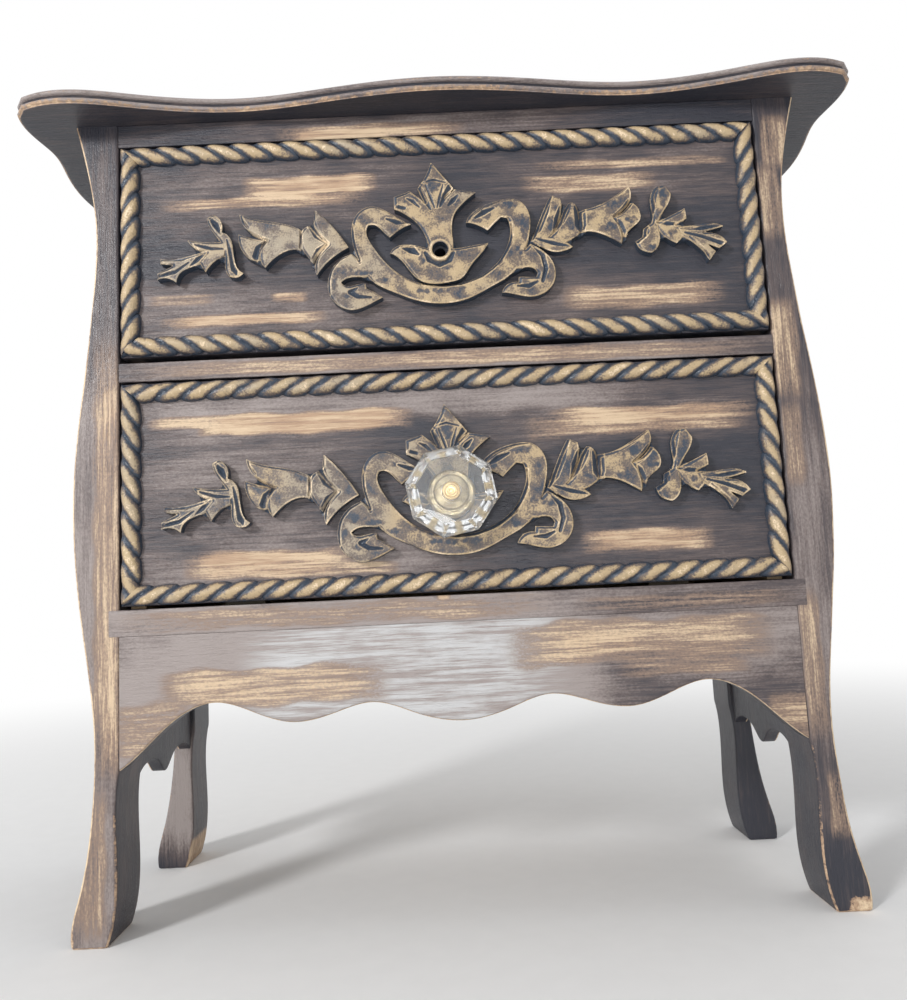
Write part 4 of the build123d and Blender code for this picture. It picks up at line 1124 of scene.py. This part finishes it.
class CHEST_OT_rails(bpy.types.Operator):
    """Builds the top rail, divider, shelf strip and apron, with its cut lower edge"""
    bl_idname = "chest.rails"
    bl_label = "Rails and apron"

    def execute(self, context):
        ease = context.scene.chest_sizes.board_ease / MM
        shelf_half = span("shelf_rail")[1][0]
        for name, half, proud, end_ease in (
            ("top_rail", OPENING, 0.0, 0.0), ("divider_rail", OPENING, 0.0, 0.0),
            ("shelf_rail", shelf_half, 0.12, 0.4),
        ):
            settle_painted(rail(name, half, ease * 0.6, proud, end_ease), "x", name)
        self.apron(ease)
        return {"FINISHED"}

    def apron(self, ease):
        """A board between its scalloped edge and the shelf strip: each column of the grid runs
        from the one to the other, and the eased arris is measured square to the edge."""
        low, high = span("apron")
        right = [(share * OPENING, LEG + rise) for share, rise in APRON_EDGE]
        scallop = curve([(-x, z) for x, z in reversed(right[1:])] + right, 900)
        x = np.linspace(-OPENING, OPENING, 300)[:, None]
        edge = np.interp(x, scallop[:, 0], scallop[:, 1])
        slope = np.gradient(edge[:, 0], x[:, 0])[:, None]
        z = edge + lines(0, 1, 0.024, 0.02)[None, :] * (high[2] - edge)
        x = np.broadcast_to(x, z.shape)
        inset = np.minimum((z - edge) / np.sqrt(1 + slope**2), 50)
        lower = quarter_round(inset, ease * 1.5)
        front = np.stack([x, low[1] + lower + quarter_round(high[2] - z, ease * 0.5), z], -1)
        back = np.stack([x, high[1] - lower, z], -1)
        values = flat_wear("apron", x, z, np.clip(1.04 - inset / 0.9, 0, 1))
        settle_painted(slab("apron_shaped", front, back, values=values), "x", "apron")


# ---------------------------------------------------------------- drawers
def snapped(x, z, deep, keep, reach):
    """Moves the grid places along the rim of the kept cells onto the line where deep is 0: each
    steps against the slope of deep by deep over the slope's length."""
    around = np.pad(keep, 1).astype(int)
    count = around[:-1, :-1] + around[1:, :-1] + around[:-1, 1:] + around[1:, 1:]
    rim = (count > 0) & (count < 4)
    dx, dz = np.gradient(deep, x[:, 0], z[0])
    length = np.maximum(dx**2 + dz**2, 0.25)
    step = np.where(rim, np.clip(deep, -reach, reach), 0.0)
    return x - step * dx / length, z - step * dz / length


def finer_about(middle, line):
    """Grid lines with closer ones about the middle of a hole in place of their own."""
    clear = 3.9
    fine = np.arange(-3.6, 3.7, 0.45)
    return np.unique(np.concatenate([line[np.abs(line - middle) > clear], middle + fine]))


class CHEST_OT_drawer_fronts(bpy.types.Operator):
    """Builds the two drawer fronts, each a board with eased arrises and its knob hole"""
    bl_idname = "chest.drawer_fronts"
    bl_label = "Drawer fronts"

    def execute(self, context):
        ease = context.scene.chest_sizes.board_ease / MM
        bore, cell = 2.3, 1.0
        for name in DRAWERS:
            low, high = FRONTS[name]
            x, z = np.meshgrid(finer_about(KNOB_X, lines(low[0], high[0], cell, ease)),
                               finer_about(KNOB_Z[name], lines(low[2], high[2], cell, ease)),
                               indexing="ij")
            from_hole = np.hypot(x - KNOB_X, z - KNOB_Z[name]) - bore
            keep = (from_hole[:-1, :-1] + from_hole[1:, 1:]) / 2 > 0
            # Only places by the hole step onto its rim, and the front's own rim stays.
            px, pz = snapped(x, z, np.where(from_hole < 2, from_hole, -FAR_OUT), keep, 0.4)
            near_hole = from_hole < 1.2
            px, pz = np.where(near_hole, px, x), np.where(near_hole, pz, z)
            inset = np.minimum(np.minimum(x - low[0], high[0] - x),
                               np.minimum(z - low[2], high[2] - z))
            front = np.stack([px, low[1] + quarter_round(inset, ease), pz], -1)
            back = np.stack([px, np.full(px.shape, high[1]), pz], -1)
            node = f"{name}_front"
            values = flat_wear(node, px, pz, np.clip(0.5 - inset / 0.8, 0, 1))
            piece = slab(f"{node}_shaped", front, back, keep, values)
            settle_painted(piece, "x", node, f"{name}_drawer")
        return {"FINISHED"}


class CHEST_OT_ropes(bpy.types.Operator):
    """Builds the eight rope mouldings: half-round bars with slanting grooves between strands"""
    bl_idname = "chest.ropes"
    bl_label = "Rope mouldings"

    def execute(self, context):
        for name in DRAWERS:
            low, high = FRONTS[name]
            for word in ("bottom", "right", "top", "left"):
                self.rope(context.scene.chest_sizes, name, word, low, high)
        return {"FINISHED"}

    def rope(self, sizes, name, word, low, high):
        """A half circle carried along the bar, drawn in towards its middle by the groove's depth
        wherever it is off the crest of a strand. The strands' turns grow along the bar and, by
        their lay, across it. The ends are mitred at the frame's corners."""
        radius, rise, step = 4.1, 4.0, 0.42
        pitch, depth = sizes.strand_pitch / MM, sizes.strand_depth / MM
        flat, outer = word in ("bottom", "top"), word in ("top", "right")
        length = (high[0] - low[0]) if flat else (high[2] - low[2])
        lean = (1 if flat else -1) * (1 if name == "upper" else -1)
        slant = lean / math.tan(sizes.strand_lay)
        phi = np.linspace(0, math.pi, 25)[None, :]
        share = np.linspace(-1, 1, int(length / step))[:, None]
        across = -radius * np.cos(phi) + 0 * share
        for _ in range(2):        # the grooves shift the places that the mitre is cut from
            half = length / 2 - (radius - (1 if outer else -1) * across)
            along = half * share
            turns = (along + slant * across) / pitch
            flank = 2 * (turns - np.floor(turns)) - 1
            strand = np.abs(flank)
            lobe = 1 - strand**2
            lobe = 0.35 * lobe + 0.65 * np.sqrt(np.clip(lobe, 0, 1))
            grow = 1 - depth / radius * (1 - lobe)
            across = -radius * np.cos(phi) * grow
        up = rise * np.sin(phi) * grow
        up[:, 0] = up[:, -1] = 0.0
        # Worn on the crests, less on the flank that turns up, and not at the foot.
        upper = np.clip(flank * (lean if flat else 1), 0, 1)
        crest = np.clip((0.90 - strand) / 0.42, 0, 1) * np.exp(-((phi - math.pi / 2) / 1.12)**4)
        uneven = 0.94 + 0.2 * wobble(along, across, hash_word(word + name), 30)
        values = {"edge": crest * (0.84 - 0.42 * upper) * uneven}
        axis = 2 if flat else 0
        centre = across + (high[axis] - radius if outer else low[axis] + radius)
        if flat:
            places = np.stack([along, low[1] - up, centre], -1)
        else:
            places = np.stack([centre, low[1] - up, (low[2] + high[2]) / 2 + along], -1)
        node = f"{name}_rope_{word}"
        piece = tube(f"{node}_twisted", places, values, angle=60)
        settle(piece, f"{name}_drawer", "rubbed_rope", crested("Rubbed rope", 0.05), node)


def cut_depth(x, z, cuts):
    """Knife cuts of a V section: at each place the depth is the cut's half width there less the
    distance from its middle line, and the deepest cut counts. It is negative outside the cuts."""
    depth = np.full(x.shape, FAR_OUT)
    for line in cuts:
        for (x0, z0, h0), (x1, z1, h1) in zip(line, line[1:]):
            dx, dz = x1 - x0, z1 - z0
            share = np.clip(((x - x0) * dx + (z - z0) * dz) / (dx * dx + dz * dz), 0, 1)
            away = np.hypot(x - x0 - share * dx, z - z0 - share * dz)
            depth = np.maximum(depth, h0 + (h1 - h0) * share - away)
    return depth


def two_depths(x, z, shapes, more):
    """Distance inside the shape that reaches furthest over each place of the grid, and inside
    the next one. More distances, already worked out, may be given."""
    xx, zz = np.meshgrid(x, z, indexing="ij")
    margin = 2.6
    insides = list(more)
    for shape in shapes:
        low, high = shape.min(axis=0) - margin, shape.max(axis=0) + margin
        part = tuple(slice(*np.searchsorted(line, ends))
                     for line, ends in zip((x, z), zip(low, high)))
        inside = np.full(xx.shape, FAR_OUT)
        inside[part] = depth_inside(xx[part], zz[part], shape)
        insides.append(inside)
    *_, second, first = np.maximum(np.sort(insides, axis=0), FAR_OUT)
    return first, second


def crest_wear(word, seed, x, z, moved, first, width, cut, rub):
    """Rubbed on the flats, less in cloudy and ragged patches where paint is left; dark in cuts,
    gaps and bevels; palest along every arris: the outline, the bevel's and the cuts' edges."""
    dark = np.zeros(x.shape)
    ragged = wobble(x, z, seed + 9, 3.4) + 0.6 * wobble(x, z, seed + 10, 1.6)
    for cx, cz, wide, tall in LEFT_DARK[word]:
        off = ((moved[0] - cx) / wide)**2 + ((moved[1] - cz) / tall)**2
        dark = np.maximum(dark, np.clip(1.1 - 0.55 * off + 0.9 * ragged, 0, 1) * (off < 3.4))
    cloudy = np.clip(0.25 + 1.5 * wobble(x, z, seed + 5, 11), 0, 1)
    flat = np.clip(0.5 + (first - width) / 0.4, 0, 1) * np.clip(0.5 - cut / 0.4, 0, 1)
    wear = 0.03 + flat * (rub - 0.34 * np.maximum(1.25 * dark, cloudy))
    arris = (np.exp(-(first / 0.30)**2) + 0.85 * np.exp(-((first - width) / 0.24)**2)
             + np.exp(-((cut + 0.18) / 0.26)**2))
    arris = np.clip(arris, 0, 1) * (first > -0.2) * (0.82 + 0.4 * wobble(x, z, seed + 7, 12))
    return np.clip(np.maximum(wear, arris), 0, 1.1)


def carve(name, word, outlines, cell, bevel):
    """One carved plate of a drawer. The face of each shape is flat but for a narrow bevel at its
    outline; where two shapes nearly meet, the wood between them falls away from both as a
    groove; knife cuts are V valleys. The rim is where the distance inside the shapes, let out
    where they nearly meet, is 0. The palmette has a boss with a raised collar round the hole."""
    full, lowest, gap, margin, least = 4.5, 1.3, 2.3, 1.2, 0.40
    bevel_fall, side_fall, cut_fall = 0.75, 1.25, 0.95        # for each millimetre across
    boss, hole, boss_level, collar_rise = 5.0, 3.2, 3.9, 0.5
    shift, rub = CARVING[name]
    seed = hash_word(f"{name}_{word}_carved")
    shapes = [closed_line(points) + shift for points in outlines]
    every = np.vstack(shapes)
    x, z = (np.arange(low - margin, high + margin, cell)
            for low, high in zip(every.min(axis=0), every.max(axis=0)))
    xx, zz = np.meshgrid(x, z, indexing="ij")
    from_hole = np.hypot(xx, zz)
    bossed = word == "palmette"
    first, second = two_depths(x, z, shapes, [boss - from_hole] if bossed else [])
    bridge = gap + first + second          # positive in a gap narrower than that
    deep = np.where(first > 0, first, np.maximum(first, np.minimum(bridge, 1.0)))
    # The bevel is widest where an outline faces up and to the left.
    inward = np.stack(np.gradient(first, cell, cell), -1)
    inward /= np.maximum(np.linalg.norm(inward, axis=-1, keepdims=True), 0.2)
    width = least + (bevel - least) * np.clip(0.2 + inward @ (0.80, -0.60), 0, 1)
    for _ in range(4):
        width[1:-1, 1:-1] = (width[:-2, 1:-1] + width[2:, 1:-1]
                             + width[1:-1, :-2] + width[1:-1, 2:]) / 4
    top = full - bevel_fall * (width - np.clip(first, 0, width)) - side_fall * np.clip(-first, 0, 3)
    moved = xx - shift[0], zz - shift[1]
    cut = cut_depth(*moved, CUTS[word])
    top = top - cut_fall * np.clip(cut, 0, 4)
    wear = crest_wear(word, seed, xx, zz, moved, first, width, cut, rub)
    if bossed:
        deep = np.minimum(deep, from_hole - hole)
        collar = np.clip(1 - np.abs(from_hole - hole - 0.75) / 0.9, 0, 1)
        top = np.where(from_hole < boss, np.maximum(top, boss_level + collar_rise * collar), top)
        wear = np.maximum(wear, 0.95 * np.exp(-((from_hole - hole - 0.8) / 0.7)**2))
    keep = (deep[:-1, :-1] + deep[1:, :-1] + deep[:-1, 1:] + deep[1:, 1:]) / 4 > 0
    for _ in range(3):        # cells that touch at a corner alone get a neighbour
        a, b, c, d = keep[:-1, :-1], keep[1:, :-1], keep[1:, 1:], keep[:-1, 1:]
        keep[1:, :-1] |= a & c & ~b & ~d
        keep[:-1, :-1] |= b & d & ~a & ~c
    px, pz = snapped(xx, zz, deep, keep, cell)
    x, z = KNOB_X + px, KNOB_Z[name] + pz
    front = np.stack([x, FRONT_Y - np.clip(top, lowest, full), z], -1)
    back = np.stack([x, np.full(x.shape, FRONT_Y), z], -1)
    return slab(f"{name}_{word}_carved", front, back, keep, {"edge": wear}, angle=28)


class CHEST_OT_ornaments(bpy.types.Operator):
    """Builds the carved ornament of each drawer front: scroll band, palmette and two sprays"""
    bl_idname = "chest.ornaments"
    bl_label = "Carved ornament"

    def execute(self, context):
        sizes = context.scene.chest_sizes
        cell, bevel = sizes.carving_cell / MM, sizes.carving_bevel / MM
        groups = {
            "scroll": [SCROLL, CURL_LEFT, CURL_RIGHT], "palmette": [PALMETTE, CALYX],
            "spray_left": SPRAY_LEFT, "spray_right": SPRAY_RIGHT,
        }
        for name in DRAWERS:
            for word, outlines in groups.items():
                settle(carve(name, word, outlines, cell, bevel), f"{name}_drawer",
                       "rubbed_ornament", crested("Rubbed carving", 0.22), f"{name}_{word}")
        return {"FINISHED"}


class CHEST_OT_knob(bpy.types.Operator):
    """Builds the cut-glass knob, the brass ferrule behind it and the bolt with its insert"""
    bl_idname = "chest.knob"
    bl_label = "Glass knob"

    def rings(self, rows):
        """Rings round the knob's axis, each given by how far it stands before the front, its
        reach, and how far it goes from round to eight-sided. An octagon's reach at an angle is
        its reach at the middle of a side over the cosine of the angle from there."""
        eighth = math.pi / 4
        turn = np.linspace(0, 2 * math.pi, 64, endpoint=False)
        octagon = 1 / np.cos((turn + eighth / 2) % eighth - eighth / 2)
        turn = turn + KNOB_TURN
        before, reach, sided = np.array(rows, float).T[:, :, None]
        r = reach * (1 + (octagon - 1) * sided)
        return np.stack([KNOB_X + r * np.cos(turn), FRONT_Y - before + 0 * r,
                         KNOB_Z["lower"] + r * np.sin(turn)], -1)

    def execute(self, context):
        glass = tube("knob_glass_cut", self.rings([
            (14.1, 0.6, 0), (14.1, 3.5, 0), (13.9, 3.7, 0), (12.2, 3.7, 0), (12.1, 2.15, 0),
            (6.9, 2.15, 0), (6.9, 7.3, 1), (7.05, 7.5, 1),
            (12.0, 16.25, 1), (12.25, 16.5, 1), (14.15, 16.5, 1), (14.4, 16.3, 1),
            (18.4, 12.6, 1), (18.7, 12.1, 1), (18.7, 3.0, 0.6),
        ]), angle=12)
        settle(glass, "lower_drawer", "knob_glass", clear_glass(), "knob_glass")
        ferrule = tube("knob_ferrule_turned", self.rings([
            (4.5, 2.05, 0), (4.5, 8.0, 0), (5.0, 8.0, 0), (5.6, 7.6, 0), (5.75, 7.0, 0),
            (6.1, 6.8, 0), (6.7, 6.3, 0), (6.85, 5.6, 0), (6.85, 2.05, 0),
        ]), joined=True, angle=35)
        darkened = metal("Aged brass", (0.62, 0.50, 0.30), (0.30, 0.22, 0.12), 0.3)
        settle(ferrule, "lower_drawer", "knob_brass", darkened, "knob_ferrule")
        # The bolt: its threaded shank, then the ringed insert that is set in the glass.
        end = FRONT_Y - span("knob_bolt")[1][1]
        bolt = tube("knob_bolt_turned", self.rings([
            (end, 0.6, 0), (end, 1.7, 0), (end + 0.4, 2.0, 0), (12.25, 2.0, 0), (12.25, 3.5, 0),
            (13.3, 3.6, 0), (13.5, 3.4, 0), (13.2, 3.0, 0), (13.2, 2.7, 0), (13.75, 2.5, 0),
            (13.5, 2.1, 0), (13.5, 1.8, 0), (13.95, 1.5, 0), (13.9, 0.9, 0), (13.5, 0.5, 0),
        ]), angle=30)
        bright = metal("Knob brass", (0.95, 0.74, 0.40), (0.70, 0.48, 0.20), 0.22)
        settle(bolt, "lower_drawer", "steel_hardware", bright, "knob_bolt")
        return {"FINISHED"}


class CHEST_OT_joinery(bpy.types.Operator):
    """Gives every solid that stays as it is its finish"""
    bl_idname = "chest.joinery"
    bl_label = "Hidden joinery"

    def execute(self, context):
        finishes = {
            "x": ("back_panel", "bottom_board", "top_back_rail", "upper_back", "lower_back",
                  "upper_bottom", "lower_bottom", "upper_drawer_stops", "lower_drawer_stops"),
            "y": ("top_cleat_left", "top_cleat_right", "upper_runner_left", "upper_runner_right",
                  "bottom_cleat_left", "bottom_cleat_right", "upper_side_left", "upper_side_right",
                  "lower_side_left", "lower_side_right"),
            "z": ("apron_block_left", "apron_block_right"),
        }
        # The drawer stops get painted shade, dark wood where the gap under a drawer is in shadow.
        chosen = {node: raw_wood(axis, node.endswith("_stops"))
                  for axis, nodes in finishes.items() for node in nodes}
        steel = metal("Plain steel", (0.62, 0.60, 0.57), (0.30, 0.27, 0.24), 0.26)
        for node in ("back_nails", "top_screws", "upper_drawer_nails", "lower_drawer_nails",
                     "knob_washer", "knob_nut"):
            chosen[node] = steel
        for node, material in chosen.items():
            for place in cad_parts[node].material_slots:
                place.material = material
        return {"FINISHED"}


# ---------------------------------------------------------------- studio
# The photograph's camera, solved from the chest's outline and the corners of its fronts.
CAMERA_PLACE = (-0.00182, -0.38004, 0.1241)
CAMERA_AHEAD = (0.0059, 0.9935, 0.1134)
CAMERA_UP = (0.0462, -0.1135, 0.9925)
CAMERA_LENS = 30.204
CAMERA_SENSOR = 36.0
# Each lamp: its place, what it is aimed at, its size and the setting of its power.
LAMPS = {
    "key_lamp": ((-0.95, -1.15, 0.72), (0, -0.03, 0.17), 0.28, "key_power"),
    "front_lamp": ((-0.10, -1.35, 0.10), (0, 0, 0.16), 0.4, "fill_power"),
    "top_lamp": ((0.3, 0.1, 1.5), (0, 0, 0.2), 1.2, "fill_power"),
}


class CHEST_OT_studio(bpy.types.Operator):
    """Builds the pale floor, the lamps, the white world and the camera"""
    bl_idname = "chest.studio"
    bl_label = "Studio"

    def execute(self, context):
        studio = context.scene.chest_studio
        turn = np.linspace(0, 2 * math.pi, 96, endpoint=False)
        reach = studio.floor_radius / MM * np.linspace(0.004, 1, 24)[:, None]**2
        x, y = reach * np.cos(turn), reach * np.sin(turn)
        flat = np.stack([x, y, np.zeros(x.shape)], -1)
        thick = 4.0
        under = flat[::-1] - (0, 0, thick)
        floor = tube("studio_floor", np.concatenate([flat, under])[::-1])
        floor.data.materials.append(self.floor_finish(studio))
        for name, (place, target, size, power) in LAMPS.items():
            self.lamp(name, place, target, size, getattr(studio, power))
        self.world()
        self.camera(context.scene)
        context.scene.view_settings.view_transform = "Standard"
        return {"FINISHED"}

    def floor_finish(self, studio):
        """Pale floor that fades to white away from the chest for what the camera, gloss and
        glass see, and keeps the shadow near it."""
        material = bpy.data.materials.new("Pale floor")
        material.use_nodes = True
        tree = material.node_tree
        tree.nodes.clear()
        place = object_place(tree)
        tone = blend(tree, fade(tree, noise(tree, place, 90.0, 3.0), 0.3, 0.7),
                     rgb(studio.floor_colour), rgb([c * 0.985 for c in studio.floor_colour]))
        distance = put(tree, "ShaderNodeVectorMath", place, operation="LENGTH").outputs["Value"]
        away = maths(tree, "MULTIPLY", fade(tree, distance, 0.12, 1.1), seen(tree))
        cover = put(tree, "ShaderNodeBsdfPrincipled")
        wire(tree, cover, Base_Color=tone, Roughness=0.9, Specular_IOR_Level=0.1)
        white = put(tree, "ShaderNodeEmission", (1, 1, 1, 1), 1.0)
        mixed = put(tree, "ShaderNodeMixShader", away, cover.outputs[0], white.outputs[0])
        put(tree, "ShaderNodeOutputMaterial", mixed.outputs[0])
        return material

    def lamp(self, name, place, target, size, power):
        data = bpy.data.lights.new(name, "AREA")
        data.shape = "DISK"
        data.size = size
        data.energy = power
        lamp = bpy.data.objects.new(name, data)
        lamp.location = place
        aim = Vector(target) - Vector(place)
        lamp.rotation_euler = aim.to_track_quat("-Z", "Y").to_euler()
        bpy.context.scene.collection.objects.link(lamp)

    def world(self):
        """White for the camera, gloss and glass, and a plain soft light on the object."""
        world = bpy.data.worlds.new("Studio world")
        world.use_nodes = True
        tree = world.node_tree
        tree.nodes.clear()
        strength = weighted(tree, (seen(tree), 0.5), plus=0.5)
        back = put(tree, "ShaderNodeBackground", (1, 1, 1, 1), strength)
        put(tree, "ShaderNodeOutputWorld", back.outputs[0])
        bpy.context.scene.world = world

    def camera(self, scene):
        data = bpy.data.cameras.new("photo_camera")
        data.sensor_width = CAMERA_SENSOR
        data.lens = CAMERA_LENS
        data.clip_start = 0.01
        camera = bpy.data.objects.new("photo_camera", data)
        forward = Vector(CAMERA_AHEAD).normalized()
        right = forward.cross(Vector(CAMERA_UP)).normalized()
        turned = Matrix((right, right.cross(forward), -forward)).transposed().to_4x4()
        camera.matrix_world = Matrix.Translation(CAMERA_PLACE) @ turned
        scene.collection.objects.link(camera)
        scene.camera = camera


class CHEST_PT_panel(bpy.types.Panel):
    """Sidebar panel that lists the chest's pieces and settings"""
    bl_label = "Bombe chest"
    bl_idname = "CHEST_PT_panel"
    bl_space_type = "VIEW_3D"
    bl_region_type = "UI"
    bl_category = "Chest"

    def draw(self, context):
        for step in STEPS:
            self.layout.operator(step.bl_idname, text=step.bl_label)
        for setting in SETTINGS:
            group = getattr(context.scene, setting)
            box = self.layout.box()
            for word in group.__annotations__:
                box.prop(group, word)


SETTINGS = {
    "chest_sizes": ChestSizes, "chest_colours": ChestColours, "chest_studio": StudioSettings,
}
STEPS = (
    CHEST_OT_posts, CHEST_OT_side_panels, CHEST_OT_top_board, CHEST_OT_rails,
    CHEST_OT_drawer_fronts, CHEST_OT_ropes, CHEST_OT_ornaments, CHEST_OT_knob, CHEST_OT_joinery,
    CHEST_OT_studio,
)


def register():
    for kind in (*SETTINGS.values(), *STEPS, CHEST_PT_panel):
        bpy.utils.register_class(kind)
    for word, kind in SETTINGS.items():
        setattr(bpy.types.Scene, word, bpy.props.PointerProperty(type=kind))


def unregister():
    for word in SETTINGS:
        delattr(bpy.types.Scene, word)
    for kind in (CHEST_PT_panel, *reversed(STEPS), *SETTINGS.values()):
        bpy.utils.unregister_class(kind)


def main():
    register()
    for step in STEPS:
        group, name = step.bl_idname.split(".")
        getattr(getattr(bpy.ops, group), name)()


if __name__ == "__main__":
    main()
